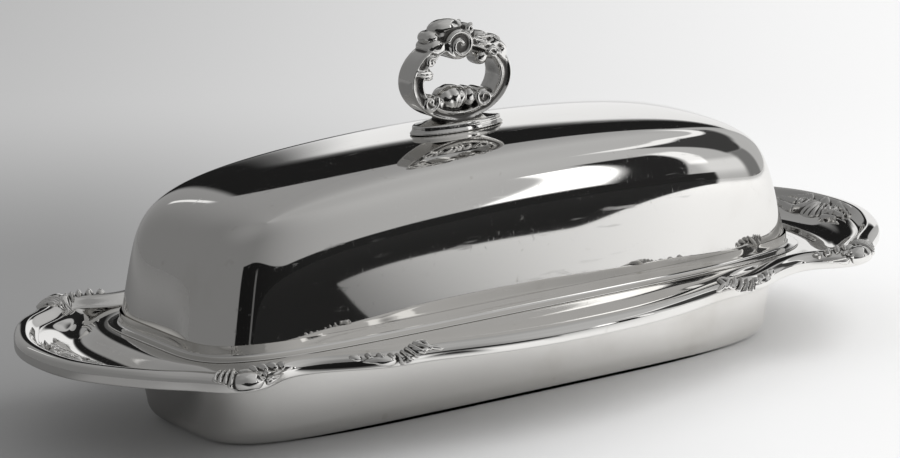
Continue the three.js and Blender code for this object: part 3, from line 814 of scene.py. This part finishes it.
# Rolls and lobes of the finial in millimetres: place along and up, then half along, up and depth,
# and the squareness of the depth
FINIAL_LOBES = (
    (-9.3, 7.7, 2.6, 2.3, 3.2, 6), (6.4, 7.1, 2.5, 2.4, 3.2, 6), (2.7, 7.6, 1.9, 2.6, 3.0, 3),
    (-6.3, 7.0, 1.7, 1.9, 3.0, 3), (-0.6, 21.2, 4.3, 3.8, 3.9, 8), (-2.6, 25.0, 4.8, 2.4, 2.6, 2.2),
    (-3.3, 23.2, 3.9, 2.3, 2.7, 2.6), (-7.3, 23.3, 2.4, 1.8, 2.8, 2.4), (-6.6, 21.0, 3.0, 2.0, 3.5, 4),
    (3.1, 24.0, 1.6, 1.7, 2.4, 3), (6.0, 21.6, 3.0, 2.0, 3.4, 3), (9.6, 20.2, 2.9, 2.1, 3.5, 3),
    (11.9, 17.6, 2.0, 2.4, 3.5, 3), (9.0, 17.8, 1.8, 1.5, 3.3, 3), (6.5, 16.9, 1.9, 2.0, 3.0, 3),
    (-8.6, 17.8, 2.2, 1.4, 3.2, 3), (-10.6, 15.2, 2.7, 1.6, 3.4, 3), (-8.7, 14.5, 1.6, 1.0, 3.0, 2.4),
)
# Curls on both faces of the finial: middle along and up, reach, turns, start, hand and depth
FINIAL_CURLS = (
    (-9.3, 7.9, 2.3, 1.2, 0.6, -1, 3.1), (6.4, 7.3, 2.3, 1.2, 2.5, 1, 3.1),
    (-0.6, 21.1, 3.8, 1.4, 2.8, -1, 3.9), (9.2, 17.8, 1.5, 1.0, 3.0, -1, 3.1),
    (3.2, 24.3, 1.2, 0.9, 1.2, 1, 2.6), (-8.6, 17.8, 1.5, 0.9, 0.4, 1, 3.1),
)
# Ridges of the leaves on both faces of the finial: start along and up, end along and up
FINIAL_RIDGES = (
    (-13.4, 16.2, -8.6, 15.4), (-13.2, 15.2, -8.2, 14.6), (-11.6, 14.2, -8.4, 13.8),
    (4.4, 22.8, 9.2, 21.9), (9.2, 21.9, 13.2, 18.4), (5.0, 20.9, 9.0, 19.9), (9.0, 19.9, 12.6, 15.6),
)
RIDGE_DEPTH = 3.15


def ring_grid(sizes, middle):
    """The band of the ring: a rounded oblong cut carried round an oval, with a hollow between two
    raised edges on both faces, and wider at the sides than above and below."""
    turn = even_turns(240)[:, None] * TURN
    side = even_turns(72) * TURN
    path_x, path_z = (sizes.ring_width - sizes.band) / 2, (sizes.ring_height - sizes.band) / 2
    cos, sin = np.cos(side), np.sin(side)
    out = sizes.band / 2 * np.sign(cos) * np.abs(cos) ** 0.45
    depth = sizes.depth / 2 * np.sign(sin) * np.abs(sin) ** 0.32
    part = 2 * out / sizes.band
    hollow = np.clip(1 - ((part - 0.05) / 0.72) ** 2, 0, 1) * (np.abs(sin) > 0.5)
    depth = depth - np.sign(sin) * hollow * 0.75 * MM
    swell = 1 + 0.22 * np.cos(turn * 2)
    inwards = (swell - 1) * sizes.band / 2
    x = (path_x - inwards + out * swell) * np.cos(turn)
    z = middle + (path_z - inwards + out * swell) * np.sin(turn)
    return joined(x, depth, z)


def foot_grid(sizes, base):
    """The oval foot: one plate, flared to a thin lower edge and rounded over above, turned round and
    wider along than across. Its profile gives shares of the half length and heights in millimetres."""
    profile = np.array([
        (0.6, 0.0), (0.985, 0.0), (1.0, 0.1), (0.995, 0.3), (0.97, 0.55), (0.95, 0.9), (0.94, 1.3),
        (0.945, 1.7), (0.94, 1.95), (0.91, 2.15), (0.82, 2.3), (0.7, 2.5), (0.58, 2.8), (0.45, 3.1),
        (0.3, 3.4),
    ])
    walked = np.linspace(0, len(profile) - 1, 90)[:, None]
    out, up = (np.interp(walked, np.arange(len(profile)), side) for side in profile.T)
    turn = even_turns(160) * TURN
    x = out * sizes.foot_length / 2 * np.cos(turn)
    y = out * sizes.foot_width / 2 * np.sin(turn)
    return joined(x, y, base + up * MM)


def shell_grid(middle, halves):
    """A small scallop: a superellipsoid whose radius dips between ribs that fan up from its foot."""
    grid = ball(middle, halves, 2.4, 120, 60)
    spread = np.arctan2(grid[..., 0] - middle[0], grid[..., 2] - middle[2] + 1.2 * halves[2])
    dip = 1 - 0.08 * (1 - np.abs(np.cos(spread * 6)))
    return middle + (grid - middle) * joined(1, dip, 0.5 + 0.5 * dip)


def build_finial():
    """All rolls, curls, ring and foot as closed grids, fused into one casting."""
    sizes = settings().finial
    base = settings().sheet.ledge_height + settings().cover.height
    middle = base + (sizes.foot_height + sizes.ring_height / 2) - TOUCH
    grids = [(ring_grid(sizes, middle), "joined"), (foot_grid(sizes, base), "poles")]
    for x, z, half_x, half_z, half_y, square in FINIAL_LOBES:
        halves = half_x * MM, half_y * MM, half_z * MM
        grids.append((ball((x * MM, 0, base + z * MM), halves, square), "poles"))
    radii = np.linspace(0.62, 0.45, CURL_STEPS) * MM
    for x, z, reach, turns, start, hand, depth in FINIAL_CURLS:
        place = x * MM, base + z * MM
        for face in (-1, 1):
            path = spiral_path(*place, face * depth * MM, reach * MM, turns, start, hand)
            grids.append((tube(path, radii), "poles"))
    part = np.linspace(0, 1, 30)
    radii = (0.2 + 0.35 * np.sin(part * HALF)) * MM
    for x, z, end_x, end_z in FINIAL_RIDGES:
        up = base / MM + lerp(z, end_z, part)
        for face in (-1, 1):
            path = joined(lerp(x, end_x, part), face * RIDGE_DEPTH, up)
            grids.append((tube(path * MM, radii), "poles"))
    shell = np.array([-1.7 * MM, 0, base + 7.8 * MM])
    grids.append((shell_grid(shell, (4.7 * MM, 3.3 * MM, 3.3 * MM)), "poles"))
    mesh = fuse(joined_solids("Finial_scroll_ring", grids), sizes.voxel)
    mesh.name = "Finial_scroll_ring"
    mesh.shade_smooth()
    mark_recesses(mesh, 0.3 * MM, 8)
    return mesh


# The fastening and the liner


def turned_mesh(name, profile, around, ends="joined", radius_at=lambda turn, radius, height: radius):
    """A profile of radius and height turned round the Z axis."""
    turn = even_turns(around) * TURN
    rows = [polar(radius_at(turn, radius, height), turn, height) for radius, height in profile]
    return solid_mesh(name, rows, ends)


def build_stud():
    """A rod whose radius dips in a V along a helix."""
    sizes = settings().fastening
    low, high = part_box("finial_stud")
    heights = np.linspace(low.z, high.z, 220)

    def thread(turn, radius, height):
        phase = np.mod(height / sizes.pitch - turn / TURN, 1)
        return radius - 0.45 * sizes.pitch * np.abs(1 - 2 * phase)

    ends = np.minimum(heights - low.z, high.z - heights)
    radii = sizes.stud_radius - np.clip(0.4 * MM - ends, 0, None)
    return turned_mesh("Finial_stud_thread", zip(radii, heights), 48, "poles", thread)


def build_washer():
    low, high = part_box("finial_washer")
    bevel = 0.2 * MM
    hole = settings().fastening.stud_radius + TOUCH
    profile = (
        (hole, low.z + bevel), (hole + bevel, low.z), (high.x - bevel, low.z),
        (high.x, low.z + bevel), (high.x, high.z - bevel), (high.x - bevel, high.z),
        (hole + bevel, high.z), (hole, high.z - bevel),
    )
    return turned_mesh("Finial_washer_disc", profile, 96)


def build_nut():
    """A hexagon whose radius is the smaller of the flats' and the chamfer's."""
    low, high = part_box("finial_nut")
    flat = settings().fastening.across_flats / 2
    face, rim, cut = flat * 0.95, flat * 1.19, 0.45 * MM
    hole = settings().fastening.stud_radius + TOUCH

    def hexagon(turn, radius, height):
        corner = np.mod(turn, TURN / 6) - TURN / 12
        return np.minimum(flat / np.cos(corner), radius)

    sides = [(rim, height) for height in np.linspace(low.z + cut, high.z - cut, 6)]
    profile = [(hole, low.z), (face, low.z)] + sides + [(face, high.z), (hole, high.z)]
    return turned_mesh("Finial_nut_hex", profile, 144, radius_at=hexagon)


def build_liner():
    """The pressed glass tray: a cut of round foot, leaning wall and rolled rim, carried round."""
    sizes, sheet = settings().liner, settings().sheet
    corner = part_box("glass_liner")[1]
    bend, wall, lean = sheet.foot_radius, sizes.wall, 1.0 * MM
    rim, inner = sizes.rim_height / 2, bend - 1.2 * MM
    cut = arc(-bend - lean, bend, bend, bend, -1, 0, 12)
    for part in (0.3, 0.6, 1.0):
        cut.append((-lean * (1 - part), lerp(bend, sizes.rise - sizes.rim_height, part)))
    cut += arc(0, sizes.rise - rim, sizes.rim_width, rim, -1, 1, 14)
    cut += arc(rim - wall, sizes.rise - rim, rim, rim, 1, 2, 6)[1:]
    cut += arc(-wall - lean - inner, wall + inner, inner, inner, 0, -1, 12)

    def outline_at(out):
        half_x, half_y = corner.x - sizes.rim_width + out, corner.y - sizes.rim_width + out
        return oblong(2 * half_x, 2 * half_y, sizes.squareness)

    return carried_mesh("Liner_tray", cut, AROUND_LINER, outline_at, sheet.thickness)


# Finishes


class Signal:
    """A socket that answers to sums and products by adding the Math nodes they need."""

    def __init__(self, finish, socket):
        self.finish, self.socket = finish, socket

    def maths(self, operation, *values):
        return self.finish.node("Math", dict(enumerate(values)), operation=operation)

    def most(self, *others):
        """The greatest of this signal and the others."""
        greatest = self
        for other in others:
            greatest = self.maths("MAXIMUM", greatest, other)
        return greatest

    def step(self, start, end):
        """0 up to the start and 1 from the end on, with a smooth rise between."""
        sockets = {"Value": self, "From Min": start, "From Max": end}
        return self.finish.node("MapRange", sockets, interpolation_type="SMOOTHSTEP")

    def band(self, start, end, soft):
        """1 between the start and the end, with smooth edges."""
        return self.step(start - soft, start + soft) * (1 - self.step(end - soft, end + soft))


def sum_method(operation, swapped):
    """A method that puts a signal and another value into one Math node, as they come or swapped."""
    def method(signal, other):
        pair = (other, signal) if swapped else (signal, other)
        return signal.maths(operation, *pair)
    return method


for sign, operation in (("add", "ADD"), ("sub", "SUBTRACT"), ("mul", "MULTIPLY")):
    setattr(Signal, f"__{sign}__", sum_method(operation, False))
    setattr(Signal, f"__r{sign}__", sum_method(operation, True))


class Finish:
    """A material or world, emptied and filled again one node at a time."""

    def __init__(self, owner):
        owner.use_nodes = True
        self.tree = owner.node_tree
        self.tree.nodes.clear()

    def node(self, kind, sockets=None, output=0, **choices):
        """One node: its choices are set first, then its sockets get values or links."""
        node = self.tree.nodes.new("ShaderNode" + kind)
        for name, value in choices.items():
            setattr(node, name, value)
        for name, value in (sockets or {}).items():
            if isinstance(value, Signal):
                self.tree.links.new(value.socket, node.inputs[name])
            else:
                node.inputs[name].default_value = value
        return Signal(self, node.outputs[output] if node.outputs else None)

    def place(self, scale=(1, 1, 1), turn=(0, 0, 0)):
        """The piece's own coordinates in metres, turned and stretched."""
        spot = self.node("TexCoord", output=3)
        return self.node("Mapping", {"Vector": spot, "Scale": scale, "Rotation": turn})

    def noise(self, scale, detail, rough, stretch=(1, 1, 1), turn=(0, 0, 0)):
        place = self.place(stretch, turn)
        sockets = {"Vector": place, "Scale": scale, "Detail": detail, "Roughness": rough}
        return self.node("TexNoise", sockets)

    def mix(self, part, first, second):
        """A colour between two colours."""
        return self.node("Mix", {0: part, 6: first, 7: second}, 2, data_type="RGBA")

    def bump(self, height, distance):
        return self.node("Bump", {"Height": height, "Distance": distance})

    def surface(self, **sockets):
        named = {name.replace("_", " "): value for name, value in sockets.items()}
        self.node("OutputMaterial", {"Surface": self.node("BsdfPrincipled", named)})


def rgba(value):
    return tuple(value) + (1.0,)


def silver_finish(finish, looks):
    """Polished plate: long gentle waves from the drawing, fine scratches every way, thin tarnish in
    soft patches and a few small marks."""
    patches = finish.noise(26, 4, 0.55).step(0.56, 0.78)
    marks = finish.noise(210, 2, 0.6).step(0.70, 0.78)
    scratch = finish.noise(60, 2, 0.6, (1, 26, 8), (0, 0, 0.5)).step(0.60, 0.74)
    other = finish.noise(60, 2, 0.6, (24, 1, 8), (0, 0.2, 0.2)).step(0.62, 0.76)
    tint = finish.mix(patches * 0.35 + marks * 0.25, rgba(looks.silver), rgba(looks.tarnish))
    roughness = looks.roughness + patches * 0.05 + marks * 0.12 + scratch * 0.11 + other * 0.08
    waves = finish.noise(24, 1, 0.4) * 0.00003 + finish.noise(90, 1, 0.4) * 0.0000016
    normal = finish.bump(waves - scratch * 0.0000003, 1.0)
    finish.surface(Base_Color=tint, Metallic=1.0, Roughness=roughness, Normal=normal)


def cast_finish(finish, looks):
    """Plated castings: bright and smooth on the high parts, dark old tarnish and painted shade down in
    the recesses, and a faint cast grain."""
    hollow = finish.node("Attribute", output=2, attribute_name="recess")
    grime = finish.noise(420, 3, 0.6)
    # The mask of the old tarnish and the painted shade that darken the recesses
    deep = (hollow + (grime - 0.5) * 0.12).step(0.52, 0.8)
    tint = finish.mix(deep, rgba(looks.cast), rgba(looks.recess))
    roughness = 0.05 + deep * 0.34 + grime * 0.04
    normal = finish.bump(grime * 0.000012 + finish.noise(110, 1, 0.5) * 0.000012, 1.0)
    finish.surface(Base_Color=tint, Metallic=1.0, Roughness=roughness, Normal=normal)


def brass_finish(finish, looks):
    """Turned brass, slightly dull, with fine tool rings and brown spots."""
    spots = finish.noise(700, 4, 0.6).step(0.55, 0.8)
    tint = finish.mix(spots * 0.6, rgba(looks.brass), (0.25, 0.16, 0.08, 1))
    normal = finish.bump(finish.noise(3200, 1, 0.5, (0.02, 0.02, 1)), 0.000008)
    finish.surface(Base_Color=tint, Metallic=1.0, Roughness=0.28 + spots * 0.2, Normal=normal)


def glass_finish(finish, looks):
    """Clear pressed glass with a soft pressing wave and light wear under the foot."""
    wear = finish.noise(160, 4, 0.65).step(0.58, 0.8)
    normal = finish.bump(finish.noise(70, 2, 0.5), 0.00007)
    tint = finish.mix(wear * 0.3, rgba(looks.glass), (0.86, 0.89, 0.88, 1))
    finish.surface(
        Base_Color=tint, Roughness=0.02 + wear * 0.16, Normal=normal, Transmission_Weight=1.0, IOR=1.5,
    )


FINISHES = {
    "silver_plate": ("silver_plate_polished", silver_finish),
    "cast_silver_plate": ("cast_silver_plate_worn", cast_finish),
    "brass": ("brass_turned", brass_finish),
    "clear_glass": ("clear_glass_pressed", glass_finish),
}


def finish_for(slot):
    """The one material of a slot, made the first time that it is asked for."""
    name, fill = FINISHES[slot]
    material = bpy.data.materials.get(name)
    if material is None:
        material = bpy.data.materials.new(name)
        fill(Finish(material), settings().finishes)
    return material


# The stage

CAMERA_TURN, CAMERA_TILT, CAMERA_ROLL = (math.radians(angle) for angle in (33.31, 14.30, -1.83))
AIM_ASIDE, AIM_UP = -0.002368, 0.006028
# Level directions: to the right of the camera's view, and back towards the camera
ASIDE = Vector((math.cos(CAMERA_TURN), -math.sin(CAMERA_TURN), 0))
NEAR = Vector((-math.sin(CAMERA_TURN), -math.cos(CAMERA_TURN), 0))
# Painted shade on the floor card: its greys on the left, near by and far off. Greys of the light and
# the wall. Painted reflections that only mirrors see on the card: bright beside the dish, dark beyond
NEAR_PAINTED_SHADE, FAR_PAINTED_SHADE = (0.275, 0.275, 0.275, 1), (0.45, 0.45, 0.45, 1)
EVEN_LIGHT, PALE_WALL = (0.8, 0.8, 0.8, 1), (0.86, 0.86, 0.86, 1)
PAINTED_BRIGHT_REFLECTION, PAINTED_DARK_REFLECTION = (0.97, 0.97, 0.97, 1), (0.006, 0.006, 0.006, 1)
LAMP_SIZE, LAMP_WATTS, LAMP_PLACE = 1.5, 11, (0.85, -0.55, 1.1)


def add_camera():
    """The camera of the photograph, turned, tilted, rolled and aimed a little beside the middle."""
    stage = settings().stage
    forward = Vector((0, 0, -math.sin(CAMERA_TILT))) - NEAR * math.cos(CAMERA_TILT)
    up = ASIDE.cross(forward)
    rolled_right = ASIDE * math.cos(CAMERA_ROLL) + up * math.sin(CAMERA_ROLL)
    rolled_up = up * math.cos(CAMERA_ROLL) - ASIDE * math.sin(CAMERA_ROLL)
    aim = (forward + rolled_right * AIM_ASIDE + rolled_up * AIM_UP).normalized()
    side = aim.cross(rolled_up).normalized()
    data = bpy.data.cameras.new("photo_camera")
    data.sensor_width = 36
    data.lens = stage.lens / MM
    data.clip_end = 50
    camera = new_object("photo_camera", data)
    place = Vector((0, 0, stage.aim_height)) - forward * stage.distance
    turned = Matrix((side, side.cross(aim), -aim)).transposed().to_4x4()
    camera.matrix_world = Matrix.Translation(place) @ turned
    bpy.context.scene.camera = camera


def part_along(finish, way, direction):
    """How far a place or direction reaches along another direction."""
    return finish.node("VectorMath", {0: way, 1: tuple(direction)}, 1, operation="DOT_PRODUCT")


def bearing(finish, way):
    """The bearing in degrees: 0 towards the camera, 90 to the right and 180 away."""
    aside, near = part_along(finish, way, ASIDE), part_along(finish, way, NEAR)
    return aside.maths("ARCTAN2", aside, near) * math.degrees(1)


def add_floor():
    """A pale card with painted shade, greyer to the left and near by. Seen in the silver, it has a
    painted dark reflection in front and to the right, where the photograph's card ends."""
    half = settings().stage.floor_size
    mesh = bpy.data.meshes.new("pale_floor")
    corners = [(-half, -half, 0), (half, -half, 0), (half, half, 0), (-half, half, 0)]
    mesh.from_pydata(corners, [], [(0, 1, 2, 3)])
    floor = new_object("pale_floor", mesh)
    material = bpy.data.materials.new("pale_floor_card")
    finish = Finish(material)
    place = finish.place()
    along, near = part_along(finish, place, ASIDE), part_along(finish, place, NEAR)
    card = rgba(settings().finishes.floor)
    # Painted shade: the card turns grey on the left, more so near by
    near_shaded_tint = finish.mix(along.step(-0.12, 0.085), NEAR_PAINTED_SHADE, card)
    far_shaded_tint = finish.mix(along.step(-0.25, 0.2), FAR_PAINTED_SHADE, card)
    tint = finish.mix((0 - near).step(0.12, 0.34), near_shaded_tint, far_shaded_tint)
    turn = bearing(finish, place)
    radius = finish.node("VectorMath", {0: place}, 1, operation="LENGTH")
    # Masks of the painted dark reflection, which only mirrors see on the floor
    right_dark_reflection = (radius - 0.9 * turn.step(66, 82)).step(0.37, 0.375)
    room = (radius.step(0.125, 0.165) * turn.band(-20, 47.5, 0.3)).most(
        radius.step(0.1, 0.13) * turn.band(-20, 22, 3),
        right_dark_reflection * turn.band(46, 81, 1),
        radius.step(0.1, 0.2) * turn.band(40, 120, 1) * (1 - turn.step(44, 78)) * 0.8,
        turn.band(-176, -166, 1.5),
        turn.band(-166, -60, 6) * 0.42,
    )
    mirrored = finish.node("LightPath", output="Is Glossy Ray")
    # Painted bright reflection beside the dish, then the painted dark reflection, both seen only by
    # mirrors
    beside = along.step(-0.03, 0.08) * (1 - radius.step(0.12, 0.2))
    tint = finish.mix(beside * mirrored, tint, PAINTED_BRIGHT_REFLECTION)
    tint = finish.mix(room * mirrored, tint, PAINTED_DARK_REFLECTION)
    finish.surface(Base_Color=tint, Roughness=0.9, Specular_IOR_Level=0.1)
    mesh.materials.append(material)


def add_world():
    """Soft studio light. What the silver mirrors goes by bearing and height: pale low down behind,
    grey to the left, lighter to the right, with a bright window strip, a dark strip behind, and the
    dark room low in front. All else is lit by one even light, and the camera sees a pale wall."""
    world = bpy.data.worlds.new("studio_light")
    bpy.context.scene.world = world
    finish = Finish(world)
    way = finish.node("TexCoord")
    turn = bearing(finish, way)
    height = part_along(finish, way, (0, 0, 1))
    height = height.maths("ARCSINE", height) * math.degrees(1)
    light = 0.335 - 0.13 * turn.step(-180, -120) + 0.33 * turn.step(5, 85) - 0.19 * turn.step(148, 180)
    light = light + (0.33 - light) * 0.6 * height.step(45, 85)
    slanted = turn - 0.24 * (height - 5)
    behind = (turn.step(156, 163) + 1 - turn.step(-177.5, -173)) * (1 - height.step(15, 19))
    light = light.most(0.92 * behind)
    fall = 45.5 - 13 * turn.step(122, 158)
    over = height - fall
    patch = (turn + 0.8 * height).band(-133.4, -130.6, 0.6) * height.band(24.5, 32.5, 1)
    for glow, strength in (
        (slanted.band(65.8, 68.6, 0.15) * height.band(4, 27.5, 0.3), 1.1),
        (slanted.band(75.8, 80.4, 0.4) * height.band(12, 33, 2), 0.6),
        (turn.band(79, 99, 2) * height.band(3, 15, 3), 0.3),
        (turn.band(96, 160, 3) * over.band(0.5, 3.2, 0.4), 0.55),
        (patch, 0.7),
    ):
        light = light + glow * strength
    edge = height - 17 + 13.5 * turn.step(10, 42)
    deep = 21 + 8 * turn.step(112, 132)
    dark = (1 - behind) * (turn.step(161, 163) + 1 - turn.step(-167, -164)) * (1 - height.step(31.4, 32))
    dark = dark.most(
        turn.band(97, 157, 2) * (1 - over.step(-0.4, 0.2)) * (height - deep).step(-3, 2) * 0.94,
        turn.band(99, 119, 3) * height.band(-3, 22, 2) * 0.65,
        slanted.band(69, 75.2, 0.3) * height.band(-6, 31, 1),
        (1 - edge.step(-0.2, 0.2)) * turn.band(-1, 81, 0.7),
    )
    light = light * (1 - 0.96 * dark) + turn.band(17.6, 19.4, 0.3) * height.band(-2, 9, 1.5) * 0.11
    grey = finish.node("CombineXYZ", {0: light, 1: light, 2: light})
    glow, even, pale = (
        finish.node("Background", {"Color": tint, "Strength": 1.0})
        for tint in (grey, EVEN_LIGHT, PALE_WALL)
    )
    mirrored = finish.node("LightPath", output="Is Glossy Ray")
    seen = finish.node("LightPath", output="Is Camera Ray")
    mixed = finish.node("MixShader", {0: mirrored, 1: even, 2: glow})
    mixed = finish.node("MixShader", {0: seen, 1: mixed, 2: pale})
    finish.node("OutputWorld", {"Surface": mixed})


def add_lamp():
    data = bpy.data.lights.new("soft_key_lamp", "AREA")
    data.shape = "DISK"
    data.size = LAMP_SIZE
    data.energy = LAMP_WATTS
    lamp = new_object("soft_key_lamp", data)
    lamp.location = LAMP_PLACE
    lamp.rotation_euler = (-lamp.location).to_track_quat("-Z", "Y").to_euler()
    lamp.visible_glossy = False


# Operators


class PieceOperator:
    bl_options = {"REGISTER", "UNDO"}

    def execute(self, context):
        self.make()
        return {"FINISHED"}


class BUTTERDISH_OT_pan(PieceOperator, Operator):
    """Makes the drawn pan: well, seat, side ledges and scooped handles in one sheet"""

    bl_idname = "butter_dish.pan"
    bl_label = "Dish pan"

    def make(self):
        add_piece(build_pan(), "dish", "silver_plate", "dish_pan")


class BUTTERDISH_OT_borders(PieceOperator, Operator):
    """Makes the border mouldings along the sides and round the handles"""

    bl_idname = "butter_dish.borders"
    bl_label = "Borders and handle rims"

    def make(self):
        corner = round(turn_at_share(CORNER_SHARE) * SOLID_STATIONS) / SOLID_STATIONS
        for node, start, end in (
            ("border_rear", corner, 0.5 - corner), ("handle_rim_left", 0.5 - corner, 0.5 + corner),
            ("border_front", 0.5 + corner, 1 - corner), ("handle_rim_right", -corner, corner),
        ):
            mesh = build_moulding(node.capitalize() + "_moulding", start, end)
            add_piece(mesh, "dish", "silver_plate", node)


class BUTTERDISH_OT_castings(PieceOperator, Operator):
    """Makes the corner shells, side scrolls and tip shells on the border"""

    bl_idname = "butter_dish.castings"
    bl_label = "Shells and scrolls"

    def make(self):
        at = settings().castings
        shell = Shape(at.corner_length, at.corner_reach, at.corner_lip, 1.0, 11, 0.07, corner_relief)
        scroll = Shape(at.scroll_length, at.scroll_reach, at.scroll_lip, 1.0, 9, 0.08, scroll_relief)
        tip = Shape(at.tip_length, at.tip_reach, 0.0, at.tip_outer, 18, 0.05, tip_relief)
        shell_turn, scroll_turn = turn_at_share(CORNER_SHARE), turn_at_share(SCROLL_SHARE)
        for corner, tip_turn, hand in (
            ("right_rear", 0, 1), ("left_rear", 0.5, -1), ("left_front", 0.5, 1), ("right_front", 1, -1),
        ):
            self.add("corner_shell_" + corner, tip_turn + hand * shell_turn, hand, shell)
            self.add("side_scroll_" + corner, tip_turn + hand * scroll_turn, hand, scroll)
        self.add("tip_shell_right", 1.0, 1, tip)
        self.add("tip_shell_left", 0.5, 1, tip)

    def add(self, node, turn, hand, shape):
        mesh = build_casting(node.capitalize() + "_casting", turn, hand, shape)
        add_piece(mesh, "dish", "cast_silver_plate", node)


class BUTTERDISH_OT_cover(PieceOperator, Operator):
    """Makes the domed cover and the flare round its foot"""

    bl_idname = "butter_dish.cover"
    bl_label = "Cover"

    def make(self):
        add_piece(build_cover(), "cover", "silver_plate", "cover_shell")
        add_piece(build_foot_flare(), "cover", "silver_plate", "cover_foot_bead")


class BUTTERDISH_OT_finial(PieceOperator, Operator):
    """Makes the cast scroll ring with its crest and oval foot"""

    bl_idname = "butter_dish.finial"
    bl_label = "Finial"

    def make(self):
        add_piece(build_finial(), "cover", "cast_silver_plate", "finial")


class BUTTERDISH_OT_fastening(PieceOperator, Operator):
    """Makes the threaded stud, the washer and the nut that hold the finial"""

    bl_idname = "butter_dish.fastening"
    bl_label = "Fastening"

    def make(self):
        add_piece(build_stud(), "cover", "brass", "finial_stud")
        add_piece(build_washer(), "cover", "brass", "finial_washer")
        add_piece(build_nut(), "cover", "brass", "finial_nut")


class BUTTERDISH_OT_liner(PieceOperator, Operator):
    """Makes the pressed glass liner that holds the butter"""

    bl_idname = "butter_dish.liner"
    bl_label = "Glass liner"

    def make(self):
        add_piece(build_liner(), "liner", "clear_glass", "glass_liner")


class BUTTERDISH_OT_stage(PieceOperator, Operator):
    """Makes the floor, the soft light and the camera at the photograph's angle"""

    bl_idname = "butter_dish.stage"
    bl_label = "Stage"

    def make(self):
        bpy.context.scene.view_settings.view_transform = "Standard"
        add_camera()
        add_floor()
        add_world()
        add_lamp()


STEPS = (
    BUTTERDISH_OT_pan, BUTTERDISH_OT_borders, BUTTERDISH_OT_castings, BUTTERDISH_OT_cover,
    BUTTERDISH_OT_finial, BUTTERDISH_OT_fastening, BUTTERDISH_OT_liner, BUTTERDISH_OT_stage,
)


class BUTTERDISH_PT_panel(Panel):
    """Lists the sizes and the steps of the butter dish"""

    bl_label = "Butter dish"
    bl_space_type = "VIEW_3D"
    bl_region_type = "UI"
    bl_category = "Butter dish"

    def draw(self, context):
        for step in STEPS:
            self.layout.operator(step.bl_idname)
        for name, group in GROUPS.items():
            box = self.layout.box()
            box.label(text=name.capitalize())
            for key in group.__annotations__:
                box.prop(getattr(context.scene.butter_dish, name), key)


CLASSES = tuple(GROUPS.values()) + (ButterDishSettings,) + STEPS + (BUTTERDISH_PT_panel,)


def register():
    for item in CLASSES:
        bpy.utils.register_class(item)
    bpy.types.Scene.butter_dish = PointerProperty(type=ButterDishSettings)


def unregister():
    del bpy.types.Scene.butter_dish
    for item in reversed(CLASSES):
        bpy.utils.unregister_class(item)


def main():
    register()
    for step in STEPS:
        group, name = step.bl_idname.split(".")
        getattr(getattr(bpy.ops, group), name)()


if __name__ == "__main__":
    main()
